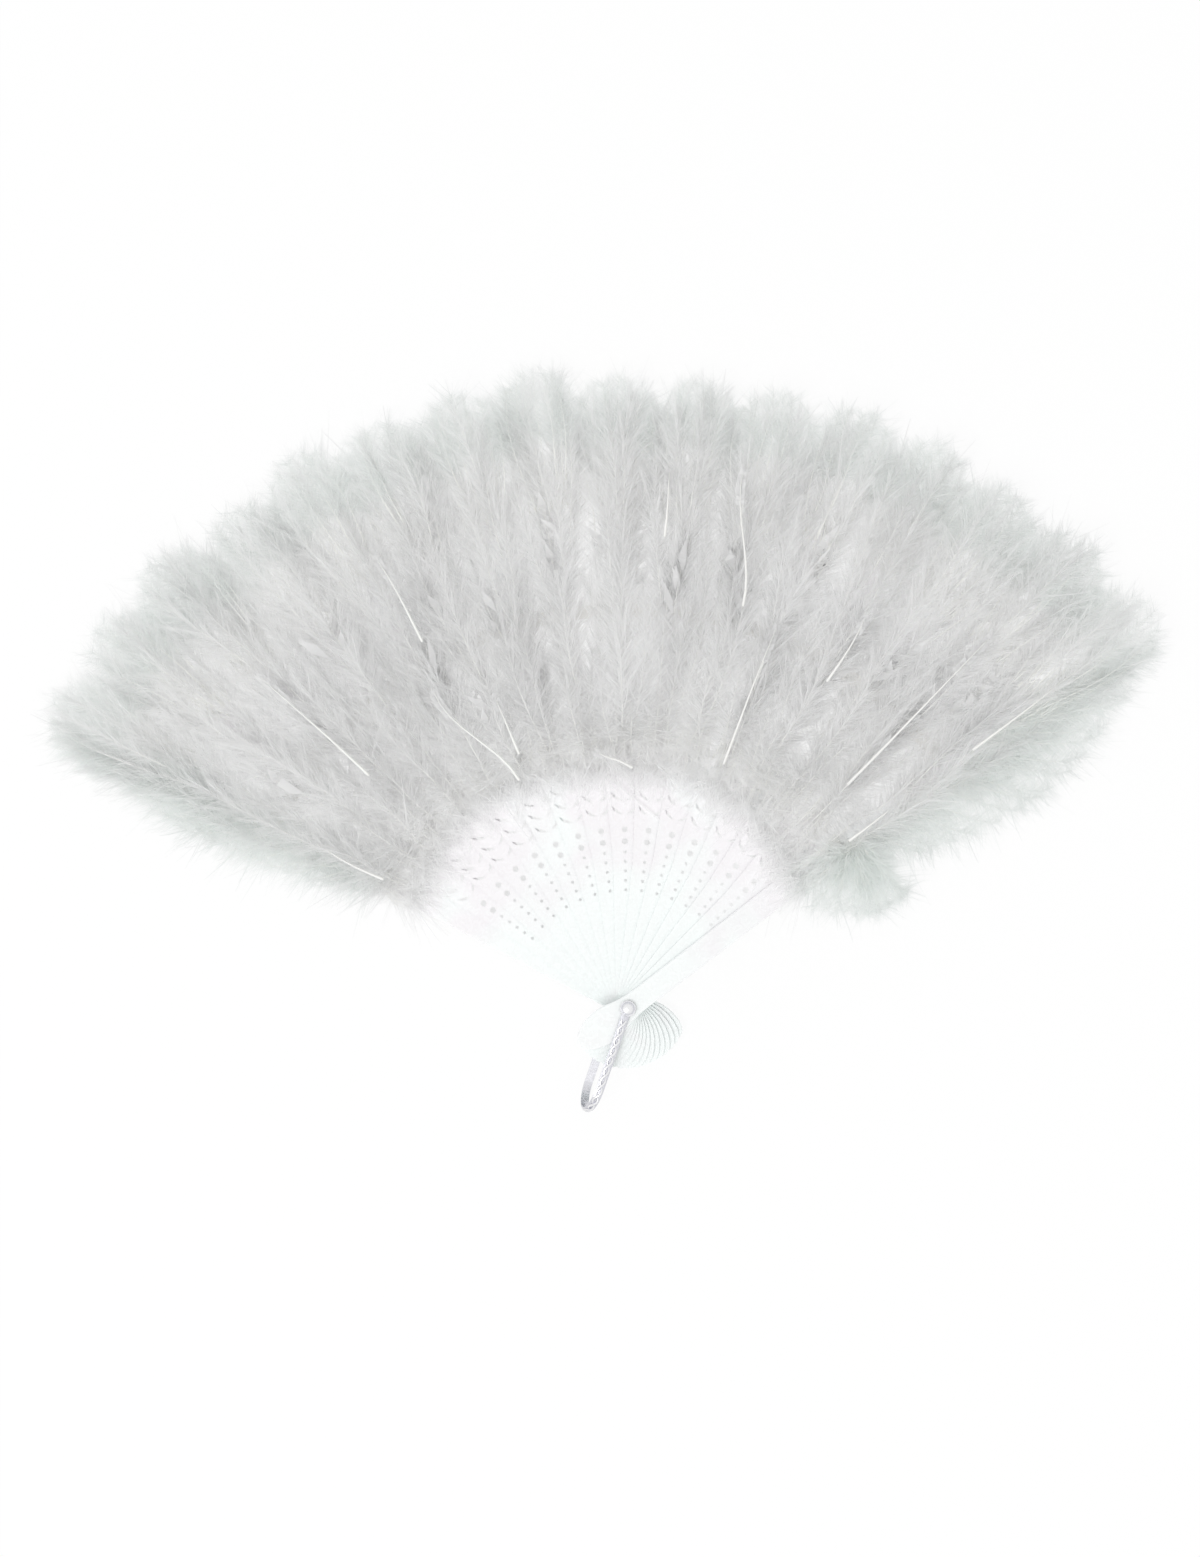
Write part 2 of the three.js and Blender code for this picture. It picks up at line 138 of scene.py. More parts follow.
# Painted shade: away from the rivet the skin turns to the darker rose, as if shaded by the down.
tint_and_shade_trend = spread(tree, away, (MINT_END, SHADED_ROSE_START), (TINT_AND_SHADE_TREND, -TINT_AND_SHADE_TREND))
cloud = numbers(tree, "ADD", cloud, tint_and_shade_trend)
tint_and_shade = add(tree, "ShaderNodeValToRGB", {"Fac": cloud})
for stop, value, colour in zip(tint_and_shade.color_ramp.elements, (ALL_SHADED_ROSE, ALL_MINT), (PEARL_ROSE_SHADED, PEARL_MINT)):
    stop.position = value
    stop.color = linear(colour)
flow = add(tree, "ShaderNodeTexNoise", {
    "Vector": where, "Scale": 1 / PEARL_FLOW, "Detail": 4.0, "Distortion": 1.5})
gloss = spread(tree, flow, NOISE_RANGE, PEARL_ROUGHNESS)
grain = add(tree, "ShaderNodeTexNoise", {"Vector": where, "Scale": 1 / PEARL_GRAIN})
skin = add(tree, "ShaderNodeBump", {"Height": grain, "Strength": 0.05, "Distance": PEARL_RELIEF})
surface = add(tree, "ShaderNodeBsdfPrincipled", {
    "Base Color": tint_and_shade, "Roughness": gloss, "IOR": 1.59, "Coat Weight": 0.25, "Coat Roughness": 0.12,
    "Normal": skin, "Subsurface Weight": 0.35, "Subsurface Radius": (1, 1, 1),
    "Subsurface Scale": PEARL_DEPTH})
add(tree, "ShaderNodeOutputMaterial", {"Surface": surface})
for blade in BLADES:
    dress(blade, pearl)

# Rivet: a nickel-plated steel pin with a flat rear head, and a domed cap pressed on its front end. Both
# are the CAD solids.
NICKEL = "#EDEDEE"
# The darker colour is painted shade, in the grooves and in the ring round the rivet.
NICKEL_SHADED = "#D2D2D8"
NICKEL_ROUGHNESS = (0.16, 0.34)
NICKEL_SCRATCH = 0.0012
# The ring of painted shade: its radius round the rivet, and how far it fades to either side.
SHADE_RING = 0.0026
SHADE_RING_FADE = 0.0009

# Bright nickel plate: a clear grey mirror, broken by fine handling scratches, and painted darker as painted
# shade in grooves and in a ring round the rivet.
nickel, tree = material("nickel_plated_steel")
where = add(tree, "ShaderNodeTexCoord").outputs["Object"]
scratch = add(tree, "ShaderNodeTexNoise", {
    "Vector": where, "Scale": 1 / NICKEL_SCRATCH, "Detail": 5.0, "Distortion": 2.0})
worn = spread(tree, scratch, NOISE_RANGE, NICKEL_ROUGHNESS)
groove = add(tree, "ShaderNodeAttribute", attribute_name="groove").outputs["Fac"]
flat = vectors(tree, "MULTIPLY", where, (1, 1, 0))
ring = vectors(tree, "LENGTH", flat)
ring = numbers(tree, "SUBTRACT", ring, SHADE_RING)
ring = numbers(tree, "ABSOLUTE", ring)
ring = spread(tree, ring, (0.0, SHADE_RING_FADE), (1.0, 0.0))
# Painted shade: whichever is darker of the grooves and the ring.
shaded = numbers(tree, "MAXIMUM", groove, ring)
metal = add(tree, "ShaderNodeMix", {
    "Factor": shaded, "A": linear(NICKEL), "B": linear(NICKEL_SHADED)}, data_type="RGBA")
surface = add(tree, "ShaderNodeBsdfPrincipled", {"Base Color": metal, "Metallic": 1.0, "Roughness": worn})
add(tree, "ShaderNodeOutputMaterial", {"Surface": surface})
for part in ("rivet_pin", "rivet_cap"):
    dress(part, nickel)

# Bail: a nickel-plated strip bent round the heads, with an eye at each end on the rivet's pin. Its outer
# face is rolled with a rope twist, and its inner face is left smooth.
BAIL_LEAN = math.radians(-23.8)
# The eyes: their radius, their hole, the rounding of their rim, and the steps round them.
EYE_RADIUS = 0.0034
EYE_HOLE = 0.0018
EYE_ROUND = 0.00025
EYE_STEPS = 40
# The legs run between these two distances from the pin. The rear leg stands aside by the bow, and the rate
# says how fast it leaves the eye for that.
STRIP_START = EYE_HOLE + 0.0006
BAIL_DROP = 0.036
BAIL_BOW = 0.005
BOW_RATE = 2.2
LEG_STEPS = 24
# The strip: its thickness at the eyes, its half width and half depth, the left half of its section as
# shares of those two, and how much painted shade darkens the face under the twist and the other faces.
STRIP_THICKNESS = 0.0012
STRIP_HALF = 0.0017
STRIP_DEPTH = 0.0006
SECTION_LEFT = ((-1, -1), (-1.05, -0.6), (-1, 0.1), (-0.6, 0.25))
FACE_SHADE = 1.0
SIDE_SHADE = 0.7
# The twist: its lay, its strands, their radius, sides and steps, how far they swing across and outward, and
# how high the twist's core lies on the strip. It leaves out these steps of the route at its two ends.
ROPE_LAY = 0.0090
ROPE_STRANDS = 2
STRAND_RADIUS = 0.00055
STRAND_SIDES = 8
STRAND_STEP = 0.00035
ROPE_HALF_WIDTH = 0.0009
ROPE_HALF_HEIGHT = 0.00025
ROPE_LIFT = 0.0002
ROPE_SKIPS = (2, 4)
# Painted shade is full up to the first distance from the core, and gone from the second.
GROOVE_FLOOR = 0.0005
GROOVE_CREST = 0.0008


def between(start, end, share):
    """What lies this share of the way from start to end."""
    return start + (end - start) * share


def ease(share):
    """A share from 0 to 1 that starts and stops gently."""
    return share * share * (3 - 2 * share)


low, high = map(Vector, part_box("bail"))
front, rear = high.z - STRIP_THICKNESS / 2, low.z + STRIP_THICKNESS / 2
bend = (front - rear) / 2
across = Vector((math.cos(BAIL_LEAN), math.sin(BAIL_LEAN), 0))
hang = Vector((math.sin(BAIL_LEAN), -math.cos(BAIL_LEAN), 0))
upright = Vector((0, 0, 1))
route = []
for step in range(LEG_STEPS + 1):
    route.append((0.0, between(STRIP_START, BAIL_DROP, step / LEG_STEPS), front))
for step in range(1, LEG_STEPS):
    share = step / LEG_STEPS
    route.append((-BAIL_BOW * ease(share), BAIL_DROP + bend * math.sin(math.pi * share),
                  (front + rear) / 2 + bend * math.cos(math.pi * share)))
for step in range(LEG_STEPS + 1):
    share = 1 - step / LEG_STEPS
    bow = BAIL_BOW * math.sin(math.pi / 2 * min(1, BOW_RATE * share))
    route.append((-bow, between(STRIP_START, BAIL_DROP, share), rear))
route = [across * x + hang * y + upright * z for x, y, z in route]


def sweep(points, faces, rings, closed):
    """Joins rings of points with quads, and closes the two ends or the loop."""
    count = len(rings[0])
    first = len(points)
    for ring in rings:
        points.extend(ring)
    for step in range(len(rings) if closed else len(rings) - 1):
        here, there = first + step * count, first + (step + 1) % len(rings) * count
        for corner in range(count):
            after = (corner + 1) % count
            faces.append((here + corner, here + after, there + after, there + corner))
    if not closed:
        faces.append(tuple(range(first + count - 1, first - 1, -1)))
        faces.append(tuple(range(len(points) - count, len(points))))


points, faces, rings, painted_shade, spine = [], [], [], [], []
section = [*SECTION_LEFT, *((-x, y) for x, y in reversed(SECTION_LEFT))]
for step, spot in enumerate(route):
    ahead = (route[min(step + 1, len(route) - 1)] - route[max(step - 1, 0)]).normalized()
    side = (across - ahead * across.dot(ahead)).normalized()
    outward = ahead.cross(side)
    rings.append([spot + side * (x * STRIP_HALF) + outward * (y * STRIP_DEPTH) for x, y in section])
    # Painted shade: darkest on the face under the twist, a little less on the other faces.
    painted_shade.extend(FACE_SHADE if y > 0 else SIDE_SHADE for x, y in section)
    spine.append(spot + outward * ROPE_LIFT)
sweep(points, faces, rings, closed=False)
eye_profile = [
    (EYE_HOLE, 0), (EYE_RADIUS - EYE_ROUND, 0), (EYE_RADIUS, EYE_ROUND),
    (EYE_RADIUS, STRIP_THICKNESS - EYE_ROUND), (EYE_RADIUS - EYE_ROUND, STRIP_THICKNESS),
    (EYE_HOLE, STRIP_THICKNESS)]
for base in (front - STRIP_THICKNESS / 2, rear - STRIP_THICKNESS / 2):
    rings = []
    for step in range(EYE_STEPS):
        angle = step / EYE_STEPS * 2 * math.pi
        spoke = Vector((math.cos(angle), math.sin(angle), 0))
        rings.append([spoke * radius + upright * (base + height) for radius, height in eye_profile])
    sweep(points, faces, rings, closed=True)
chain = spine[ROPE_SKIPS[0]:-ROPE_SKIPS[1]]
first = len(points)
points.extend(chain)
painted_shade.extend([0.0] * (len(points) - len(painted_shade)))
strip = bpy.data.meshes.new("bail_strip")
strip.from_pydata(points, [(first + step, first + step + 1) for step in range(len(chain) - 1)], faces)
strip.attributes.new("groove", "FLOAT", "POINT").data.foreach_set("value", painted_shade)
strip.attributes.new("route", "BOOLEAN", "POINT").data.foreach_set(
    "value", [number >= first for number in range(len(points))])


def shape_tree(name, sockets):
    """A tree that takes and gives geometry, and takes these sizes, with the outputs of its input node."""
    made = bpy.data.node_groups.new(name, "GeometryNodeTree")
    for socket, kind in {"Geometry": "Geometry", **sockets}.items():
        made.interface.new_socket(socket, in_out="INPUT", socket_type=f"NodeSocket{kind}")
    made.interface.new_socket("Geometry", in_out="OUTPUT", socket_type="NodeSocketGeometry")
    return made, add(made, "NodeGroupInput").outputs


# The tree that lays the twist: it takes the chain of points out of the strip's mesh, winds the strands on
# it, and notes how deep in the lay each spot is, for the painted shade in the twist's grooves.
twist, size = shape_tree("rope_twist", {
    "Lay": "Float", "Half width": "Float", "Half height": "Float", "Strand radius": "Float",
    "Strand step": "Float", "Across": "Vector", "Finish": "Material"})
position = add(twist, "GeometryNodeInputPosition")
on_route = add(twist, "GeometryNodeInputNamedAttribute", {"Name": "route"}, data_type="BOOLEAN")
core = add(twist, "GeometryNodeMeshToCurve", {"Mesh": size["Geometry"], "Selection": on_route})
core = add(twist, "GeometryNodeResampleCurve", {"Curve": core, "Length": size["Strand step"]}, mode="LENGTH")
core = add(twist, "GeometryNodeStoreNamedAttribute", {
    "Geometry": core, "Name": "spine", "Value": position}, data_type="FLOAT_VECTOR", domain="POINT")
ahead = add(twist, "GeometryNodeInputTangent")
lean = vectors(twist, "DOT_PRODUCT", size["Across"], ahead)
lean = vectors(twist, "SCALE", ahead, lean)
side = vectors(twist, "SUBTRACT", size["Across"], lean)
side = vectors(twist, "NORMALIZE", side)
outward = vectors(twist, "CROSS_PRODUCT", ahead, side)
run = add(twist, "GeometryNodeSplineParameter").outputs["Length"]
wound = numbers(twist, "DIVIDE", run, size["Lay"])
ring = add(twist, "GeometryNodeCurvePrimitiveCircle", {
    "Resolution": STRAND_SIDES, "Radius": size["Strand radius"]})
laid = []
for strand in range(ROPE_STRANDS):
    phase = numbers(twist, "ADD", wound, strand / ROPE_STRANDS)
    phase = numbers(twist, "MULTIPLY", phase, 2 * math.pi)
    shifts = []
    for operation, extent, direction in (("COSINE", "Half width", side), ("SINE", "Half height", outward)):
        wave = numbers(twist, operation, phase)
        wave = numbers(twist, "MULTIPLY", wave, size[extent])
        shifts.append(vectors(twist, "SCALE", direction, wave))
    shift = vectors(twist, "ADD", shifts[0], shifts[1])
    wire = add(twist, "GeometryNodeSetPosition", {"Geometry": core, "Offset": shift})
    laid.append(add(twist, "GeometryNodeCurveToMesh", {
        "Curve": wire, "Profile Curve": ring, "Fill Caps": True}))
laid = add(twist, "GeometryNodeJoinGeometry", {"Geometry": laid})
spine = add(twist, "GeometryNodeInputNamedAttribute", {"Name": "spine"}, data_type="FLOAT_VECTOR")
# Painted shade, by how deep in the lay a spot is.
depth = vectors(twist, "DISTANCE", position, spine)
depth = spread(twist, depth, (GROOVE_FLOOR, GROOVE_CREST), (1.0, 0.0))
laid = add(twist, "GeometryNodeStoreNamedAttribute", {
    "Geometry": laid, "Name": "groove", "Value": depth}, data_type="FLOAT", domain="POINT")
laid = add(twist, "GeometryNodeSetShadeSmooth", {"Geometry": laid})
bare = add(twist, "GeometryNodeDeleteGeometry", {
    "Geometry": size["Geometry"], "Selection": on_route}, domain="POINT")
whole = add(twist, "GeometryNodeJoinGeometry", {"Geometry": [bare, laid]})
whole = add(twist, "GeometryNodeRealizeInstances", {"Geometry": whole})
whole = add(twist, "GeometryNodeSetMaterial", {"Geometry": whole, "Material": size["Finish"]})
add(twist, "NodeGroupOutput", {"Geometry": whole})


def made_by(tree, name, mesh, sizes):
    """Runs a tree on a mesh with these inputs, and gives the result as one piece with a plain mesh."""
    maker = bpy.data.objects.new(f"{name}_maker", mesh)
    bpy.context.collection.objects.link(maker)
    modifier = maker.modifiers.new("maker", "NODES")
    modifier.node_group = tree
    for socket in tree.interface.items_tree:
        if socket.in_out == "INPUT" and socket.name in sizes:
            modifier[socket.identifier] = sizes[socket.name]
    evaluated = maker.evaluated_get(bpy.context.evaluated_depsgraph_get())
    made = bpy.data.meshes.new_from_object(evaluated)
    bpy.data.objects.remove(maker)
    bpy.data.meshes.remove(mesh)
    piece = bpy.data.objects.new(name, made)
    bpy.context.collection.objects.link(piece)
    return piece


piece = made_by(twist, "rope_bail", strip, {
    "Lay": ROPE_LAY, "Half width": ROPE_HALF_WIDTH, "Half height": ROPE_HALF_HEIGHT,
    "Strand radius": STRAND_RADIUS, "Strand step": STRAND_STEP, "Across": across, "Finish": nickel})
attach(piece, "bail")
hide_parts("bail")

# Ribbon: white satin threaded through a window in every stick and laid on from blade to blade, so that it
# stops the fan at its full spread. Each length between two blades is a piece, tied to its right-hand blade.
SATIN_WHITE = "#F2F1EE"
SATIN_ROUGHNESS = (0.25, 0.45)
SATIN_THREAD = 0.0004
SATIN_RELIEF = 0.0001
# The satin lies under the CAD solid's upper face, whose height is read this near to each end.
SATIN_UNDER = 0.00012
END_REACH = 0.0006
# Its half thickness, its section in shares of its width and of that, and the half waves that it lies in.
SATIN_HALF = 0.00006
SATIN_SECTION = ((0, 0), (0.1, 1), (0.9, 1), (1, 0), (0.9, -1), (0.1, -1))
SATIN_SAG = 0.00012
SATIN_WAVES = 3
SATIN_STEPS = 16


def turn_of(spots):
    """The angle about the rivet at which the middle of these spots lies, to the left of straight up."""
    middle = sum(spots, Vector()) / len(spots)
    return math.atan2(-middle.x, middle.y)


def directions(turn):
    """At an angle about the rivet, the way outward and the way to the right of that."""
    return Vector((-math.sin(turn), math.cos(turn), 0)), Vector((math.cos(turn), math.sin(turn), 0))


# Polyester satin: long floats along the ribbon that shine across it.
satin, tree = material("polyester_satin")
where = add(tree, "ShaderNodeTexCoord").outputs["Object"]
thread = add(tree, "ShaderNodeTexNoise", {"Vector": where, "Scale": 1 / SATIN_THREAD})
floats = add(tree, "ShaderNodeBump", {"Height": thread, "Strength": 0.2, "Distance": SATIN_RELIEF})
shine = spread(tree, thread, NOISE_RANGE, SATIN_ROUGHNESS)
surface = add(tree, "ShaderNodeBsdfPrincipled", {
    "Base Color": linear(SATIN_WHITE), "Roughness": shine, "Normal": floats, "Sheen Weight": 0.3})
add(tree, "ShaderNodeOutputMaterial", {"Surface": surface})
for number in range(1, len(BLADES)):
    node_name = f"ribbon_{number:02d}"
    solid = [vertex.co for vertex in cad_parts[node_name].data.vertices]
    out, right = directions(turn_of(solid))
    ends = [pick(solid, key=lambda spot: spot.dot(right)) for pick in (min, max)]
    inner, outer = [pick(spot.dot(out) for spot in solid) for pick in (min, max)]
    left_x, right_x = [spot.dot(right) for spot in ends]
    left_z = max(spot.z for spot in solid if spot.dot(right) < left_x + END_REACH)
    right_z = max(spot.z for spot in solid if spot.dot(right) > right_x - END_REACH)
    points, faces, rings = [], [], []
    for step in range(SATIN_STEPS + 1):
        share = step / SATIN_STEPS
        x = between(left_x, right_x, share)
        z = between(left_z, right_z, share) - SATIN_UNDER
        z += SATIN_SAG * math.sin(SATIN_WAVES * math.pi * share)
        rings.append([right * x + out * between(inner, outer, y) + upright * (z + rise * SATIN_HALF)
                      for y, rise in SATIN_SECTION])
    sweep(points, faces, rings, closed=False)
    cloth = bpy.data.meshes.new(f"satin_{number:02d}")
    cloth.from_pydata(points, [], faces)
    cloth.materials.append(satin)
    piece = bpy.data.objects.new(f"satin_{number:02d}", cloth)
    bpy.context.collection.objects.link(piece)
    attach(piece, BLADES[number])
    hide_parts(node_name)
    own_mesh(piece)

# Plumes: marabou, the loose down of a turkey, glued in bunches along both faces of each blade's rib. A
# plume has long feathers to the fan's edge, shorter ones over them, and tufts that hide the glue.
DOWN_ROOT = "#ECECEC"
DOWN_TIP = "#FEFEFE"
DOWN_CAST = "#FCFEFD"
QUILL_SHADE = "#F3F3EF"
QUILL = "#FAFAF8"
QUILL_FIBRE = 0.002
# How much of a barb's tone comes from the way along it, and how much of the light passes through it.
DOWN_FADE = 0.3
DOWN_THROUGH = 0.6
# Barbs: how far apart they are on a quill, their width as a share of their length, the share of it that is
# gone at the tip, the points along them, how far they lean off the splay, how far their face may look
# sideways and upward, and the range of their length.
BARB_SPACING = 0.000115
BARB_WIDTH = 0.019
BARB_TAPER = 0.75
BARB_POINTS = 4
BARB_LEAN = 0.25
BARB_SIDEWAYS = 0.7
BARB_UPWARD = (0.2, 1.0)
BARB_RANGE = (0.5, 1.15)
# A few barbs are longer than the rest by one gain, and a few are wider than the usual share by the other.
LONG_CHANCE = 0.03
LONG_GAIN = 0.6
WIDE_CHANCE = 0.08
WIDE_GAIN = 1.6
USUAL_WIDTH = 0.9
# A barb bends by this power of the way along it, towards its lock and by a noise of this size. The feathers
# of the fan's edge are looser, and each barb's tone strays from its feather's.
BARB_BEND = 1.8
STRAY_SIZE = 0.006
EDGE_LOOSENESS = 0.6
TONE_STRAY = 0.2
# A stretch of quill whose barbs would be shorter than this has none.
SHORTEST_BARB = 0.001
# On the bake's chart a barb lies by its shade across, and by the way along it and its cast upwards.
CHART_CORNER = (0.04, 0.05)
CHART_EDGE = 0.02
CHART_SHADE = 0.9
CHART_ALONG = 0.42
CHART_CAST = 0.48
# Quills: their radius, the share of it that is gone at the tip, their sides, how many steps their route has,
# and how long a step of their shaft is.
QUILL_RADIUS = 0.0003
QUILL_TAPER = 0.8
QUILL_SIDES = 5
QUILL_STEPS = 12
SHAFT_STEP = 0.006
# Along a quill: where it is done climbing and starts to fall, where its barbs are at full length and what
# share they have at the root and the tip, and how they splay. Tones lean to the light side by their power.
CLIMB_END = 0.35
FALL_START = 0.55
FULL_START = 0.3
FULL_END = 0.7
ROOT_BARB = 0.65
TIP_BARB = 0.7
LOOSE_SPLAY = (1.5, 0.6)
SPLAY_POWER = 0.55
TONE_POWER = 0.6
# The glued stretch of the rib and its film of glue, and the radius past which a blade is all rib.
GLUE_START = 0.106
RIB_END = 0.212
GLUE = 0.0005
ALL_RIB = 0.2
# The outer edge stands past the CAD plume by the gain, give or take the stray, and dips between blades.
EDGE_GAIN = 0.007
EDGE_STRAY = 0.004
EDGE_DIP = 0.013
# The inner edge: its radius, its swell over the left half, how far it draws in past this share of the
# blades, and its stray.
ROOT_EDGE = 0.096
ROOT_SWELL = 0.005
ROOT_DRAW = 0.011
DRAW_START = 0.75
ROOT_STRAY = 0.002
# How high the down stands at the rear and the front guard, how deep the clefts between plumes are, and the
# lowest and highest that a barb goes.
REAR_LIFT = 0.0155
FRONT_LIFT = 0.0235
CLEFT = 0.005
PLUME_FOOT = 0.0004
PLUME_TOP = 0.034
# The layers of a plume, from the edge in: how many feathers, how long, where their tips lie (at or under 0 it
# is counted back from the edge), how far they climb off the blade and over the plume's lift, how long their
# barbs are, how these splay from root to tip, the share of the quill that is bare, and the cool cast.
LAYERS = (
    {"count": 16, "run": 0.045, "tips": (-0.003, 0.000), "climb": 1.0, "rise": 0.000, "barb": (0.008, 0.011),
     "splay": (1.35, 1.0), "bare": 0.5, "cast": 1.0},
    {"count": 7, "run": 0.060, "tips": (-0.016, -0.006), "climb": 1.0, "rise": 0.001, "barb": (0.013, 0.016),
     "splay": (1.2, 0.55), "bare": 0.3, "cast": 0.0},
    {"count": 4, "run": 0.075, "tips": (0.208, 0.236), "climb": 1.0, "rise": 0.002, "barb": (0.015, 0.018),
     "splay": (1.2, 0.6), "bare": 0.3, "cast": 0.0},
    {"count": 4, "run": 0.068, "tips": (0.172, 0.204), "climb": 1.0, "rise": 0.003, "barb": (0.014, 0.018),
     "splay": (1.2, 0.6), "bare": 0.25, "cast": 0.0},
    {"count": 3, "run": 0.055, "tips": (0.142, 0.170), "climb": 1.0, "rise": 0.003, "barb": (0.014, 0.017),
     "splay": (1.3, 0.7), "bare": 0.1, "cast": 0.0},
    {"count": 5, "run": 0.024, "tips": (0.122, 0.140), "climb": 0.8, "rise": 0.002, "barb": (0.012, 0.015),
     "splay": (2.3, 1.0), "bare": 0.0, "cast": 0.0},
)
# How layered feathers stray: aside, in length, in height at the top, down at the tip, and in their bow. They
# reach over the next plume by the overlap, and the longer they are, the nearer their roots are to the rib.
ASIDE_STRAY = 0.12
RUN_STRAY = 0.15
TOP_STRAY = (-0.005, 0.002)
TIP_FALL = 0.003
FEATHER_BOW = 0.004
OVERLAP = 1.1
GATHER = 10
# The tufts at the inner edge, and the wisps that each has: where they start and end, their height over the
# blade at the root, in the middle and at the tip, their barbs, splay and bow.
ROOT_TUFTS = 11
TUFT = {"start": 0.117, "stray": 0.006, "short": (0.002, 0.008), "rises": (0.0005, 0.004, 0.0025),
        "barb": (0.006, 0.010), "splay": (1.3, 0.7), "bow": 0.002}
WISP = {"run": 0.003, "rises": (0.002, 0.003, 0.002), "barb": (0.010, 0.020), "splay": (0.9, 0.5)}
# The feathers on the back: where they start and end, how far aside their tips and roots lie, their room
# under the blade, how low and high they may lie, their rise to the tip, and their barbs and bare share.
BACK = {"start": (0.114, 0.130), "short": (0.008, 0.016), "aside": 0.009, "gather": 0.1, "under": 0.001,
        "sink": 0.0015, "lowest": 0.002, "highest": 0.0045, "rise": 0.002, "barb": (0.015, 0.018),
        "bare": 0.25}
# Bare quills that lie on top: the blade, or the share between two, at each end, and the two radii.
BARE_QUILLS = (
    (4.3, 4.3, 0.176, 0.216), (1.85, 1.85, 0.146, 0.207), (4.8, 4.0, 0.106, 0.154), (5.1, 5.1, 0.116, 0.142),
    (8.25, 7.2, 0.101, 0.108), (10.9, 10.9, 0.110, 0.171), (8.7, 8.7, 0.198, 0.225),
    (10.2, 9.7, 0.175, 0.229), (12.2, 12.2, 0.160, 0.191), (13.9, 13.9, 0.131, 0.216),
    (15.05, 15.05, 0.180, 0.224), (15.0, 15.0, 0.116, 0.140), (0.0, 0.0, 0.116, 0.148))
# How high they lie over the plume on a stick and on a guard, how they arch, and their other sizes.
STICK_QUILL_LIFT = 0.009
GUARD_QUILL_LIFT = 0.007
QUILL_ARCH = (0.000, 0.002, -0.003)
BARE = {"barb": 0.012, "splay": (0.9, 0.7), "bow": 0.001, "radius": 0.0007, "share": 0.8}
# Partings: barbs are pushed this far off a bare quill, and off hair-thin quills that lie in each stick's
# plume only for that. These have a start, a length, a place aside, a drift, a bow and a radius, and no barbs.
PARTING = 0.0018
PARTINGS = 2
HAIR = {"start": (0.128, 0.205), "run": (0.010, 0.024), "aside": 0.8, "drift": 0.003, "bow": 0.001,
        "radius": 0.0001}
# The fringe on the outer side of each guard: which side, and how far its longest feathers stand out.
FRINGE = {"rear_guard": (-1, 0.021), "front_guard": (1, 0.035)}
FRINGE_COUNT = 16
FRINGE_ROWS = (1.0, 0.6)
# From the first of its feathers to the last: their starts, their lengths, and the part of a half wave that
# says how far they stand out. Then their root's place aside, heights, barbs, splay and bow.
FRINGE_FEATHER = {
    "start": (0.114, 0.204), "run": (0.010, 0.063), "wave": (0.15, 0.87), "root": 0.002, "drop": 0.002,
    "tip": 0.013, "barb": (0.011, 0.014), "splay": (1.4, 0.9), "bow": 0.002}
# The clump that hangs off the front guard's root: how far its feathers reach, and how many there are.
DROOP = ((0.031, 18), (0.019, 12))
DROOP_TONE = 0.8
# How many degrees they swing round from straight down, where their roots are, their heights, and how they
# slope down past this distance aside. Then their barbs, splay and bow.
DROOP_FEATHER = {
    "swing": (-15, 105), "start": (0.115, 0.121), "root": 0.003, "rises": (0.0005, 0.004, 0.003),
    "slope": 0.4, "level": 0.006, "barb": (0.009, 0.012), "splay": (1.3, 0.8), "bow": 0.002}
# The part of its own step in which a feather of the fringe or the clump may lie.
STEP_PART = (0.2, 0.8)
# One seed for the feathers' draws, and one for each plume's barbs, this far apart.
SEED = 11
SEED_STEP = 100
draw = random.Random(SEED)

# Down barbs: matt white threads that let light through, greyer towards the quill, with a cool cast on the
# feathers of the fan's edge.
down, tree = material("marabou_down_barbs")
along, shade, cast = [
    add(tree, "ShaderNodeAttribute", attribute_name=name).outputs["Fac"]
    for name in ("along", "shade", "cast")]
tone = add(tree, "ShaderNodeMix", {"Factor": DOWN_FADE, "A": shade, "B": along})
colour = add(tree, "ShaderNodeMix", {
    "Factor": tone, "A": linear(DOWN_ROOT), "B": linear(DOWN_TIP)}, data_type="RGBA")
colour = add(tree, "ShaderNodeMix", {
    "Factor": cast, "A": colour, "B": linear(DOWN_CAST)}, data_type="RGBA", blend_type="MULTIPLY")
surface = add(tree, "ShaderNodeBsdfPrincipled", {
    "Base Color": colour, "Roughness": 0.85, "Specular IOR Level": 0.2})
through = add(tree, "ShaderNodeBsdfTranslucent", {"Color": colour})
soft = add(tree, "ShaderNodeMixShader", {0: DOWN_THROUGH, 1: surface, 2: through})
add(tree, "ShaderNodeOutputMaterial", {"Surface": soft})

# Quill: a smooth horn shaft, whiter and slightly glossy.
quill, tree = material("feather_quill_horn")
where = add(tree, "ShaderNodeTexCoord").outputs["Object"]
fibre = add(tree, "ShaderNodeTexNoise", {"Vector": where, "Scale": 1 / QUILL_FIBRE})
horn = add(tree, "ShaderNodeMix", {
    "Factor": fibre, "A": linear(QUILL_SHADE), "B": linear(QUILL)}, data_type="RGBA")
surface = add(tree, "ShaderNodeBsdfPrincipled", {"Base Color": horn, "Roughness": 0.4, "IOR": 1.54})
add(tree, "ShaderNodeOutputMaterial", {"Surface": surface})

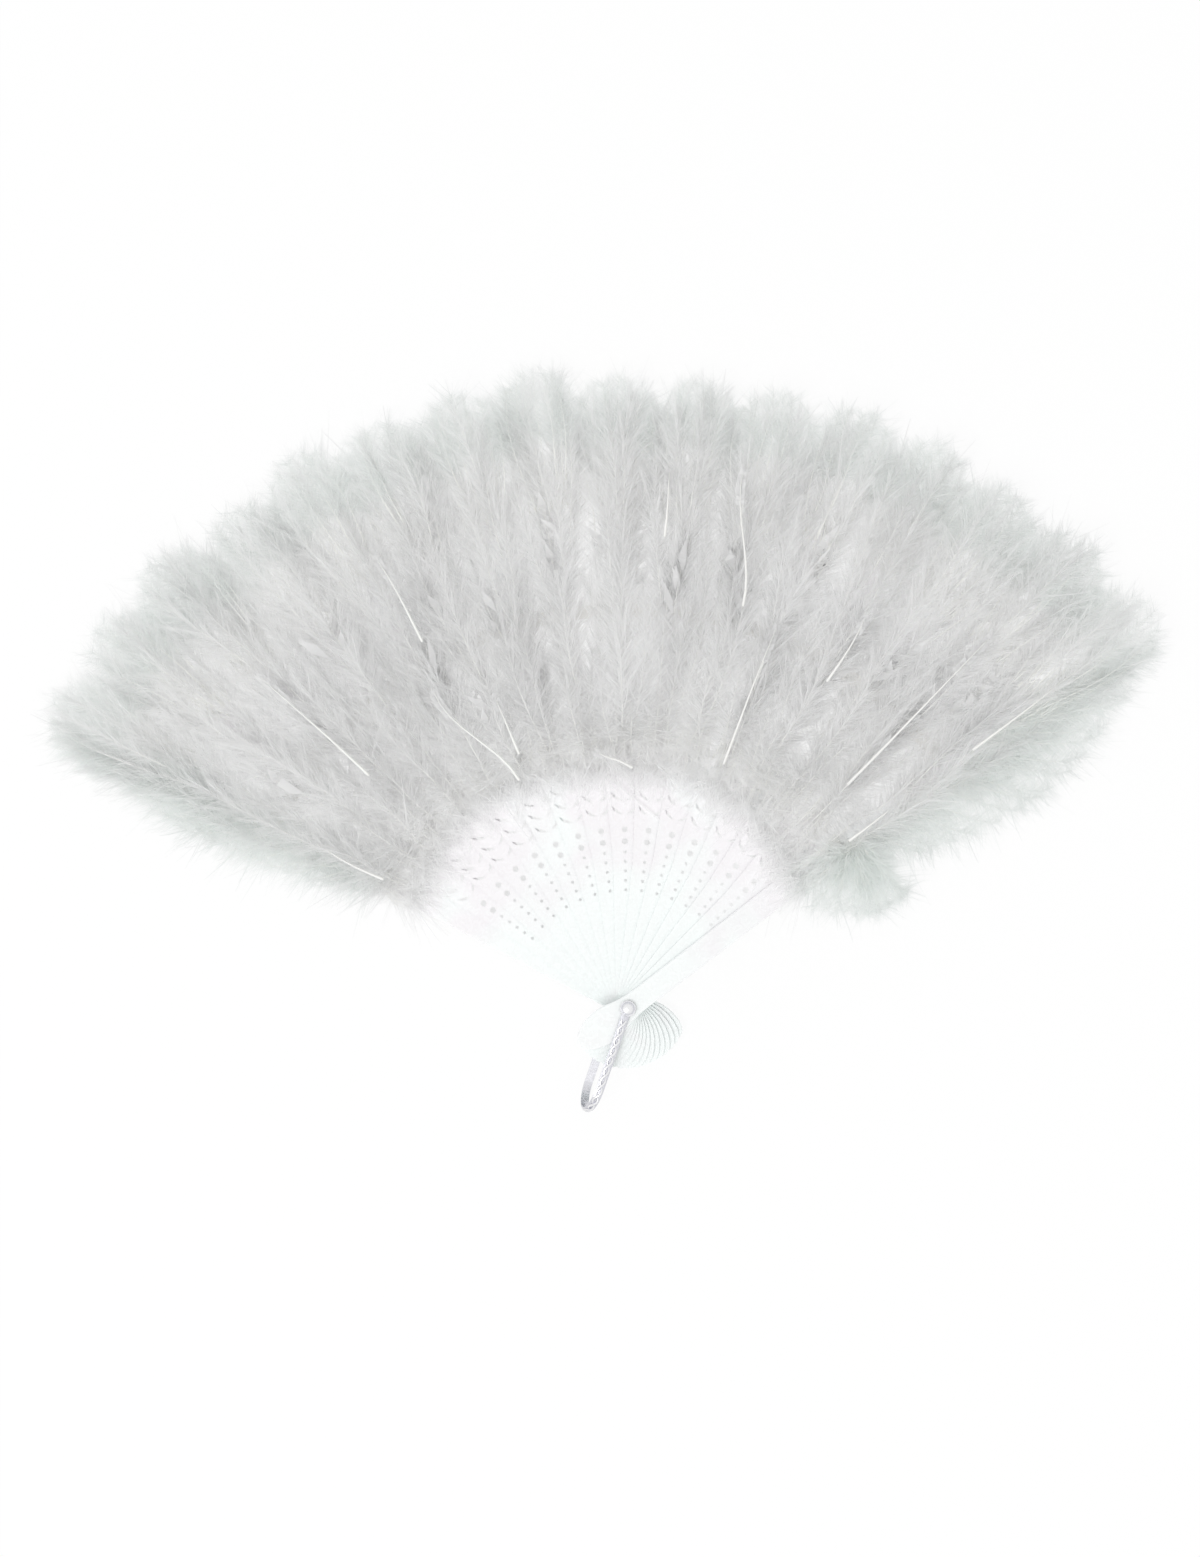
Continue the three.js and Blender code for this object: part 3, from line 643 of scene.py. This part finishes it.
# The tree that grows barbs from quills: its points come along each quill, and each barb is one tapered
# strip that leaves at the quill's splay, droops off it, bends to the tip and is drawn to its lock.
growth, size = shape_tree("marabou_growth", {
    "Barb spacing": "Float", "Barb width": "Float", "Flatness": "Float", "Droop": "Float", "Curl": "Float",
    "Lock size": "Float", "Lock draw": "Float", "Stray": "Float", "Parting": "Float", "Lowest": "Float",
    "Highest": "Float", "Seed": "Int", "Barb finish": "Material", "Quill finish": "Material"})
known = {}
for name in ("splay", "barb", "tone", "quill", "cast", "parts", "along", "edge", "shade"):
    known[name] = add(growth, "GeometryNodeInputNamedAttribute", {"Name": name}, data_type="FLOAT")
pulled = add(growth, "GeometryNodeInputNamedAttribute", {"Name": "pull"}, data_type="FLOAT_VECTOR")
position = add(growth, "GeometryNodeInputPosition")

# A root for each barb, with its lean, its turn about the quill and its length.
curve = add(growth, "GeometryNodeMeshToCurve", {"Mesh": size["Geometry"]})
rows = add(growth, "GeometryNodeResampleCurve", {
    "Curve": curve, "Length": size["Barb spacing"]}, mode="LENGTH")
roots = add(growth, "GeometryNodeCurveToPoints", {"Curve": rows}, mode="EVALUATED")
forward = roots.outputs["Tangent"]
chance = add(growth, "FunctionNodeRandomValue", {
    "Min": (-BARB_LEAN, 0, BARB_RANGE[0]), "Max": (BARB_LEAN, 2 * math.pi, BARB_RANGE[1]),
    "Seed": size["Seed"]}, data_type="FLOAT_VECTOR")
chance = add(growth, "ShaderNodeSeparateXYZ", {0: chance}).outputs
seed = add(growth, "FunctionNodeIntegerMath", {0: size["Seed"], 1: 1}, operation="ADD")
luck = add(growth, "FunctionNodeRandomValue", {"Seed": seed}, data_type="FLOAT_VECTOR")
luck = add(growth, "ShaderNodeSeparateXYZ", {0: luck}).outputs
lean = numbers(growth, "ADD", known["splay"], chance["X"])
length = numbers(growth, "MULTIPLY", known["barb"], chance["Z"])
longer = numbers(growth, "GREATER_THAN", luck["X"], 1 - LONG_CHANCE)
longer = numbers(growth, "MULTIPLY_ADD", longer, LONG_GAIN, 1.0)
length = numbers(growth, "MULTIPLY", length, longer)

# The way that the barb leaves the quill.
aside = vectors(growth, "CROSS_PRODUCT", forward, (0, 0, 1))
aside = vectors(growth, "NORMALIZE", aside)
upward = vectors(growth, "CROSS_PRODUCT", aside, forward)
flare = numbers(growth, "SINE", lean)
ahead = numbers(growth, "COSINE", lean)
sideways = numbers(growth, "COSINE", chance["Y"])
raised = numbers(growth, "SINE", chance["Y"])
raised = numbers(growth, "MULTIPLY", raised, size["Flatness"])
fallen = numbers(growth, "ABSOLUTE", sideways)
fallen = numbers(growth, "MULTIPLY", fallen, size["Droop"])
raised = numbers(growth, "SUBTRACT", raised, fallen)
raised = numbers(growth, "MULTIPLY", raised, flare)
sideways = numbers(growth, "MULTIPLY", sideways, flare)
way = vectors(growth, "SCALE", forward, ahead)
way = vectors(growth, "MULTIPLY_ADD", aside, sideways, way)
way = vectors(growth, "MULTIPLY_ADD", upward, raised, way)
reach = vectors(growth, "LENGTH", way)
reach = numbers(growth, "MULTIPLY", length, reach)

# How its tip is pulled: ahead by its curl, to the middle of its lock, and astray. Then its shade.
curl = numbers(growth, "MULTIPLY", length, size["Curl"])
curl = vectors(growth, "SCALE", forward, curl)
tip = vectors(growth, "MULTIPLY_ADD", way, length, position)
tip = vectors(growth, "ADD", tip, curl)
lock = numbers(growth, "DIVIDE", 1.0, size["Lock size"])
lock = add(growth, "ShaderNodeTexVoronoi", {"Vector": tip, "Scale": lock})
drawn = vectors(growth, "SUBTRACT", lock.outputs["Position"], tip)
loose = numbers(growth, "MULTIPLY_ADD", known["cast"], -EDGE_LOOSENESS, 1.0)
loose = numbers(growth, "MULTIPLY", loose, size["Lock draw"])
drawn = vectors(growth, "SCALE", drawn, loose)
astray = add(growth, "ShaderNodeTexNoise", {"Vector": tip, "Scale": 1 / STRAY_SIZE}).outputs["Color"]
astray = vectors(growth, "SUBTRACT", astray, (0.5, 0.5, 0.5))
astray = vectors(growth, "SCALE", astray, size["Stray"])
pull = vectors(growth, "ADD", drawn, astray)
pull = vectors(growth, "ADD", pull, curl)
shade = add(growth, "ShaderNodeMix", {"Factor": TONE_STRAY, "A": known["tone"], "B": luck["Y"]})
for name, kind, value in (("pull", "FLOAT_VECTOR", pull), ("shade", "FLOAT", shade)):
    roots = add(growth, "GeometryNodeStoreNamedAttribute", {
        "Geometry": roots, "Name": name, "Value": value}, data_type=kind, domain="POINT")

# One barb of length 1, which every root gets at its own size.
barb = add(growth, "GeometryNodeMeshGrid", {
    "Size X": 1.0, "Size Y": size["Barb width"], "Vertices X": BARB_POINTS, "Vertices Y": 2})
spot = add(growth, "ShaderNodeSeparateXYZ", {0: position}).outputs
outward = numbers(growth, "ADD", spot["X"], 0.5)
edge = numbers(growth, "GREATER_THAN", spot["Y"], 0.0)
for name, value in (("along", outward), ("edge", edge)):
    barb = add(growth, "GeometryNodeStoreNamedAttribute", {
        "Geometry": barb, "Name": name, "Value": value}, data_type="FLOAT", domain="POINT")
taper = numbers(growth, "MULTIPLY_ADD", known["along"], -BARB_TAPER, 1.0)
taper = numbers(growth, "MULTIPLY", spot["Y"], taper)
taper = add(growth, "ShaderNodeCombineXYZ", {"X": known["along"], "Y": taper})
barb = add(growth, "GeometryNodeSetPosition", {"Geometry": barb, "Position": taper})
seed = add(growth, "FunctionNodeIntegerMath", {0: size["Seed"], 1: 2}, operation="ADD")
facing = add(growth, "FunctionNodeRandomValue", {
    "Min": (-BARB_SIDEWAYS, -BARB_SIDEWAYS, BARB_UPWARD[0]),
    "Max": (BARB_SIDEWAYS, BARB_SIDEWAYS, BARB_UPWARD[1]), "Seed": seed}, data_type="FLOAT_VECTOR")
turned = add(growth, "FunctionNodeAlignRotationToVector", {"Vector": way}, axis="X")
turned = add(growth, "FunctionNodeAlignRotationToVector", {
    "Rotation": turned, "Vector": facing}, axis="Z", pivot_axis="X")
barbed = numbers(growth, "GREATER_THAN", known["barb"], SHORTEST_BARB)
wider = numbers(growth, "GREATER_THAN", luck["Z"], 1 - WIDE_CHANCE)
wider = numbers(growth, "MULTIPLY_ADD", wider, WIDE_GAIN, USUAL_WIDTH)
wider = numbers(growth, "MULTIPLY", wider, reach)
extent = add(growth, "ShaderNodeCombineXYZ", {"X": reach, "Y": wider, "Z": reach})
grown = add(growth, "GeometryNodeInstanceOnPoints", {
    "Points": roots, "Selection": barbed, "Instance": barb, "Rotation": turned, "Scale": extent})
grown = add(growth, "GeometryNodeRealizeInstances", {"Geometry": grown})

# Barbs bend by their pull, make way for the quills that part them, and stay within the plume's height.
bend = numbers(growth, "POWER", known["along"], BARB_BEND)
bent = vectors(growth, "MULTIPLY_ADD", pulled, bend, position)
partings = add(growth, "GeometryNodeSeparateGeometry", {
    "Geometry": size["Geometry"], "Selection": known["parts"]}, domain="POINT")
nearest = add(growth, "GeometryNodeProximity", {
    "Geometry": partings, "Sample Position": bent}, target_element="EDGES")
off = vectors(growth, "SUBTRACT", bent, nearest)
off = vectors(growth, "MULTIPLY", off, (1, 1, 0))
room = vectors(growth, "LENGTH", off)
room = spread(growth, room, (0.0, size["Parting"]), (size["Parting"], 0.0))
off = vectors(growth, "NORMALIZE", off)
off = vectors(growth, "ADD", off, (0, 0, -1))
bent = vectors(growth, "MULTIPLY_ADD", off, room, bent)
spot = add(growth, "ShaderNodeSeparateXYZ", {0: bent}).outputs
height = add(growth, "ShaderNodeClamp", {"Value": spot["Z"], "Min": size["Lowest"], "Max": size["Highest"]})
bent = add(growth, "ShaderNodeCombineXYZ", {"X": spot["X"], "Y": spot["Y"], "Z": height})
grown = add(growth, "GeometryNodeSetPosition", {"Geometry": grown, "Position": bent})

# Their place on the bake's chart, where barbs of one shade and cast share a spot. Then the shafts.
chart_x, chart_y = CHART_CORNER
for name, extent in (("edge", CHART_EDGE), ("shade", CHART_SHADE)):
    chart_x = numbers(growth, "MULTIPLY_ADD", known[name], extent, chart_x)
for name, extent in (("along", CHART_ALONG), ("cast", CHART_CAST)):
    chart_y = numbers(growth, "MULTIPLY_ADD", known[name], extent, chart_y)
chart = add(growth, "ShaderNodeCombineXYZ", {"X": chart_x, "Y": chart_y})
grown = add(growth, "GeometryNodeStoreNamedAttribute", {
    "Geometry": grown, "Name": "OFBake", "Value": chart}, data_type="FLOAT2", domain="CORNER")
grown = add(growth, "GeometryNodeSetMaterial", {"Geometry": grown, "Material": size["Barb finish"]})
shaft = add(growth, "GeometryNodeResampleCurve", {"Curve": curve, "Length": SHAFT_STEP}, mode="LENGTH")
ring = add(growth, "GeometryNodeCurvePrimitiveCircle", {"Resolution": QUILL_SIDES, "Radius": 1.0})
shaft = add(growth, "GeometryNodeCurveToMesh", {
    "Curve": shaft, "Profile Curve": ring, "Scale": known["quill"], "Fill Caps": True})
shaft = add(growth, "GeometryNodeSetMaterial", {"Geometry": shaft, "Material": size["Quill finish"]})
whole = add(growth, "GeometryNodeJoinGeometry", {"Geometry": [grown, shaft]})
add(growth, "NodeGroupOutput", {"Geometry": whole})
growth_sizes = {
    "Barb spacing": BARB_SPACING, "Barb width": BARB_WIDTH, "Flatness": 0.6, "Droop": 0.25, "Curl": 0.15,
    "Lock size": 0.007, "Lock draw": 0.95, "Stray": 0.010, "Parting": PARTING, "Lowest": PLUME_FOOT,
    "Highest": PLUME_TOP, "Barb finish": down, "Quill finish": quill}


class Bunch:
    """The quills of one plume, as chains of points with what the barbs need to know at each."""

    def __init__(self, turn):
        self.out, self.right = directions(turn)
        self.points, self.edges = [], []
        self.values = {"splay": [], "barb": [], "tone": [], "cast": [], "quill": [], "parts": []}

    def feather(self, radii, asides, heights, barb, splay=LOOSE_SPLAY, bow=0.0, quill=QUILL_RADIUS, bare=0.0,
                cast=0.0, tone=None, parts=False):
        """A quill from the first radius, aside and height to the last, and its barbs' size, splay and look.
        Heights also give its middle, barbs start past the bare share, and without a tone it draws one."""
        if tone is None:
            tone = draw.random() ** TONE_POWER
        for step in range(QUILL_STEPS + 1):
            share = step / QUILL_STEPS
            aside = between(*asides, ease(share)) + bow * math.sin(math.pi * share)
            height = between(heights[0], heights[1], ease(min(1.0, share / CLIMB_END)))
            height += (heights[2] - heights[1]) * max(0.0, (share - FALL_START) / (1 - FALL_START)) ** 2
            if step:
                self.edges.append((len(self.points) - 1, len(self.points)))
            self.points.append(self.out * between(*radii, share) + self.right * aside + upright * height)
            full = between(ROOT_BARB, 1, min(1.0, share / FULL_START))
            full *= between(1, TIP_BARB, max(0.0, (share - FULL_END) / (1 - FULL_END)))
            self.values["barb"].append(0.0 if share < bare else barb * full)
            self.values["splay"].append(between(*splay, share ** SPLAY_POWER))
            self.values["tone"].append(tone)
            self.values["cast"].append(cast)
            self.values["quill"].append(quill * (1 - QUILL_TAPER * share))
            self.values["parts"].append(parts)

    def mesh(self, name):
        """The chains as edges of a mesh, with their values as its attributes."""
        made = bpy.data.meshes.new(name)
        made.from_pydata(self.points, self.edges, [])
        for key, values in self.values.items():
            made.attributes.new(key, "FLOAT", "POINT").data.foreach_set("value", values)
        return made


def stray(extent):
    """A random step of up to this size, either way."""
    return draw.uniform(-extent, extent)


turns = []
for blade in BLADES:
    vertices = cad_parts[blade].data.vertices
    turns.append(turn_of([vertex.co for vertex in vertices if vertex.co.xy.length > ALL_RIB]))
pitch = (turns[0] - turns[-1]) / (len(BLADES) - 1)
half_pitch = math.tan(pitch / 2)
for number, blade in enumerate(BLADES):
    # A blade's rank is 0 at the rear guard and 1 at the front one.
    rank = number / (len(BLADES) - 1)
    low, high = (corner.z for corner in map(Vector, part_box(blade)))
    outer = max(vertex.co.xy.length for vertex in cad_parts[f"plume_{blade}"].data.vertices)
    outer += EDGE_GAIN + stray(EDGE_STRAY)
    inner = ROOT_EDGE + ROOT_SWELL * max(0, math.sin(2 * math.pi * rank))
    inner -= ROOT_DRAW * max(0, (rank - DRAW_START) / (1 - DRAW_START))
    inner += stray(ROOT_STRAY)
    lift = between(REAR_LIFT, FRONT_LIFT, rank)
    bunch = Bunch(turns[number])
    # The layered feathers on the front.
    for layer in LAYERS:
        for index in range(layer["count"]):
            share = 2 * (index + 0.5) / layer["count"] - 1 + stray(ASIDE_STRAY)
            end = draw.uniform(*layer["tips"])
            if layer["tips"][1] <= 0:
                end += outer - EDGE_DIP * share * share
            aside = OVERLAP * share * end * half_pitch
            run = layer["run"] * draw.uniform(1 - RUN_STRAY, 1 + RUN_STRAY)
            height = high + layer["climb"] * (lift - high) + layer["rise"] - CLEFT * share * share
            bunch.feather(
                (max(GLUE_START, min(end - run, RIB_END)), end), ((1 - GATHER * layer["run"]) * aside, aside),
                (high + GLUE, height + draw.uniform(*TOP_STRAY), height - draw.uniform(0, TIP_FALL)),
                draw.uniform(*layer["barb"]), layer["splay"], bow=stray(FEATHER_BOW), bare=layer["bare"],
                cast=layer["cast"])
    # The tufts and wisps at the inner edge, at the lightest tone: painted light against the shade of
    # the dense down there.
    for index in range(ROOT_TUFTS):
        end = inner + draw.uniform(*TUFT["short"])
        aside = (2 * (index + 0.5) / ROOT_TUFTS - 1) * end * half_pitch
        bunch.feather(
            (TUFT["start"] + stray(TUFT["stray"]), end), (aside, aside),
            [high + rise for rise in TUFT["rises"]], draw.uniform(*TUFT["barb"]), TUFT["splay"],
            bow=stray(TUFT["bow"]), tone=1.0)
        bunch.feather(
            (end + WISP["run"], end), (aside, aside), [high + rise for rise in WISP["rises"]],
            draw.uniform(*WISP["barb"]), WISP["splay"], tone=1.0)
    # The two feathers on the back.
    sink = max(BACK["lowest"], min(BACK["highest"], low - BACK["sink"]))
    for aside in (-BACK["aside"], BACK["aside"]):
        bunch.feather(
            (draw.uniform(*BACK["start"]), outer - draw.uniform(*BACK["short"])),
            (BACK["gather"] * aside, aside), (low - BACK["under"], sink, sink + BACK["rise"]),
            draw.uniform(*BACK["barb"]), bow=stray(FEATHER_BOW), bare=BACK["bare"])
    # The bare quills on top, and the partings.
    top = lift + (GUARD_QUILL_LIFT if blade in FRINGE else STICK_QUILL_LIFT)
    for begin_blade, end_blade, begin, end in BARE_QUILLS:
        if round(begin_blade) == number:
            asides = [radius * math.tan((place - number) * pitch)
                      for radius, place in ((begin, begin_blade), (end, end_blade))]
            bunch.feather(
                (begin, end), asides, [top + rise for rise in QUILL_ARCH], BARE["barb"], BARE["splay"],
                bow=stray(BARE["bow"]), quill=BARE["radius"], bare=BARE["share"], parts=blade not in FRINGE)
    for parting in range(0 if blade in FRINGE else PARTINGS):
        begin = draw.uniform(*HAIR["start"])
        aside = stray(HAIR["aside"]) * begin * half_pitch
        bunch.feather(
            (begin, begin + draw.uniform(*HAIR["run"])), (aside, aside + stray(HAIR["drift"])),
            (lift, lift, lift), 0.0, bow=stray(HAIR["bow"]), quill=HAIR["radius"], parts=True)
    # The fringe of a guard, and the clump at the front one's root.
    edging = Bunch(turns[number])
    if blade in FRINGE:
        side, width = FRINGE[blade]
        for part in FRINGE_ROWS:
            for index in range(FRINGE_COUNT):
                share = (index + draw.uniform(*STEP_PART)) / FRINGE_COUNT
                begin = between(*FRINGE_FEATHER["start"], share)
                aside = side * width * part * math.sin(math.pi * between(*FRINGE_FEATHER["wave"], share))
                edging.feather(
                    (begin, begin + between(*FRINGE_FEATHER["run"], share)),
                    (FRINGE_FEATHER["root"] * side, aside),
                    (high + GLUE, lift - FRINGE_FEATHER["drop"], FRINGE_FEATHER["tip"]),
                    draw.uniform(*FRINGE_FEATHER["barb"]), FRINGE_FEATHER["splay"],
                    bow=stray(FRINGE_FEATHER["bow"]), cast=1.0)
    if blade == "front_guard":
        for reach, count in DROOP:
            for index in range(count):
                share = (index + draw.uniform(*STEP_PART)) / count
                swing = math.radians(between(*DROOP_FEATHER["swing"], share))
                begin = draw.uniform(*DROOP_FEATHER["start"])
                aside = DROOP_FEATHER["root"] + reach * math.sin(swing)
                heights = [high + rise for rise in DROOP_FEATHER["rises"]]
                heights[2] -= DROOP_FEATHER["slope"] * max(0, aside - DROOP_FEATHER["level"])
                edging.feather(
                    (begin, begin - reach * math.cos(swing)), (DROOP_FEATHER["root"], aside), heights,
                    draw.uniform(*DROOP_FEATHER["barb"]), DROOP_FEATHER["splay"],
                    bow=stray(DROOP_FEATHER["bow"]), cast=1.0, tone=DROOP_TONE)
    for kind, quills in (("down", bunch), ("fringe", edging)):
        if quills.points:
            piece = made_by(growth, f"{kind}_{blade}", quills.mesh(f"{blade}_{kind}_quills"), {
                **growth_sizes, "Seed": SEED_STEP * number})
            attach(piece, blade)
            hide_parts(f"plume_{blade}")
            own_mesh(piece)

# Floor and light: a sheet of white paper under an even white sky, with one large soft lamp above, at the
# lower left. The paper is shown darker under the fan's gorge, as the blades shade it there.
FLOOR_SIDE = 6.0
PAPER_WHITE = "#FCFCFC"
SKY_WHITE = "#FFFFFF"
SKY_LIGHT = 0.80
# How much of the paper is shown as plain white, away from the gorge and in its shade. The shade fades between
# these distances from the rivet, and spreads by this angle to either side.
PAPER_SEEN = 0.92
SHADE_SEEN = 0.5
SHADE_START = 0.050
SHADE_END = 0.105
SHADE_SPREAD = 0.95
LAMP_PLACE = Vector((-0.7, -0.55, 1.8))
LAMP_TARGET = Vector((0.0, 0.1, 0.0))
LAMP_SIZE = 0.8
LAMP_POWER = 11
# White down is lit mostly by its own barbs, so light goes on for many bounces.
DOWN_BOUNCES = 12


def seen_rays(tree):
    """1 for the rays that show a thing to the eye, straight or by gloss or through a clear body, else 0."""
    ray = add(tree, "ShaderNodeLightPath").outputs
    seen = numbers(tree, "MAXIMUM", ray["Is Camera Ray"], ray["Is Glossy Ray"])
    return numbers(tree, "MAXIMUM", seen, ray["Is Transmission Ray"])


half = FLOOR_SIDE / 2
sheet = bpy.data.meshes.new("floor")
corners = [(-half, -half, 0), (half, -half, 0), (half, half, 0), (-half, half, 0)]
sheet.from_pydata(corners, [], [(0, 1, 2, 3)])
floor = bpy.data.objects.new("floor", sheet)
bpy.context.collection.objects.link(floor)

# Matt white paper, shown mostly as plain white, with the fan's shadow in the rest.
paper, tree = material("white_paper")
where = add(tree, "ShaderNodeTexCoord").outputs["Object"]
spot = add(tree, "ShaderNodeSeparateXYZ", {0: where}).outputs
away = vectors(tree, "LENGTH", where)
shown = spread(tree, away, (SHADE_START, SHADE_END), (SHADE_SEEN, PAPER_SEEN))
bearing = numbers(tree, "ARCTAN2", spot["X"], spot["Y"])
bearing = numbers(tree, "ABSOLUTE", bearing)
clear = numbers(tree, "GREATER_THAN", bearing, SHADE_SPREAD)
clear = numbers(tree, "MULTIPLY", clear, PAPER_SEEN)
shown = numbers(tree, "MAXIMUM", shown, clear)
shown = numbers(tree, "MULTIPLY", seen_rays(tree), shown)
matt = add(tree, "ShaderNodeBsdfDiffuse", {"Color": linear(PAPER_WHITE)})
white = add(tree, "ShaderNodeEmission", {"Color": linear(SKY_WHITE), "Strength": 1.0})
surface = add(tree, "ShaderNodeMixShader", {0: shown, 1: matt, 2: white})
add(tree, "ShaderNodeOutputMaterial", {"Surface": surface})
sheet.materials.append(paper)

world = bpy.data.worlds.new("white_sky")
bpy.context.scene.world = world
world.use_nodes = True
world.node_tree.nodes.clear()
tree = world.node_tree
strength = spread(tree, seen_rays(tree), (0.0, 1.0), (SKY_LIGHT, 1.0))
sky = add(tree, "ShaderNodeBackground", {"Color": linear(SKY_WHITE), "Strength": strength})
add(tree, "ShaderNodeOutputWorld", {"Surface": sky})

lamp_data = bpy.data.lights.new("soft_lamp", "AREA")
lamp_data.shape = "DISK"
lamp_data.size = LAMP_SIZE
lamp_data.energy = LAMP_POWER
lamp = bpy.data.objects.new("soft_lamp", lamp_data)
lamp.location = LAMP_PLACE
lamp.rotation_euler = (LAMP_TARGET - LAMP_PLACE).to_track_quat("-Z", "Y").to_euler()
bpy.context.collection.objects.link(lamp)
bpy.context.scene.cycles.max_bounces = 2 * DOWN_BOUNCES
bpy.context.scene.cycles.diffuse_bounces = DOWN_BOUNCES
bpy.context.scene.cycles.transmission_bounces = 2 * DOWN_BOUNCES

# Camera: straight above the table, a little below the fan's middle, and turned so that the fan leans to the
# left of upright. Its lens is a long one, which keeps the view nearly flat.
CAMERA_PLACE = (-0.00365, 0.0971, 1.564)
CAMERA_TURN = math.radians(-4.75)
LENS = 85
SENSOR = 36
camera_data = bpy.data.cameras.new("camera")
camera_data.lens = LENS
camera_data.sensor_width = SENSOR
camera_data.sensor_fit = "AUTO"
camera = bpy.data.objects.new("camera", camera_data)
camera.location = CAMERA_PLACE
camera.rotation_euler = (0, 0, CAMERA_TURN)
bpy.context.collection.objects.link(camera)
bpy.context.scene.camera = camera
bpy.context.scene.view_settings.view_transform = "Standard"
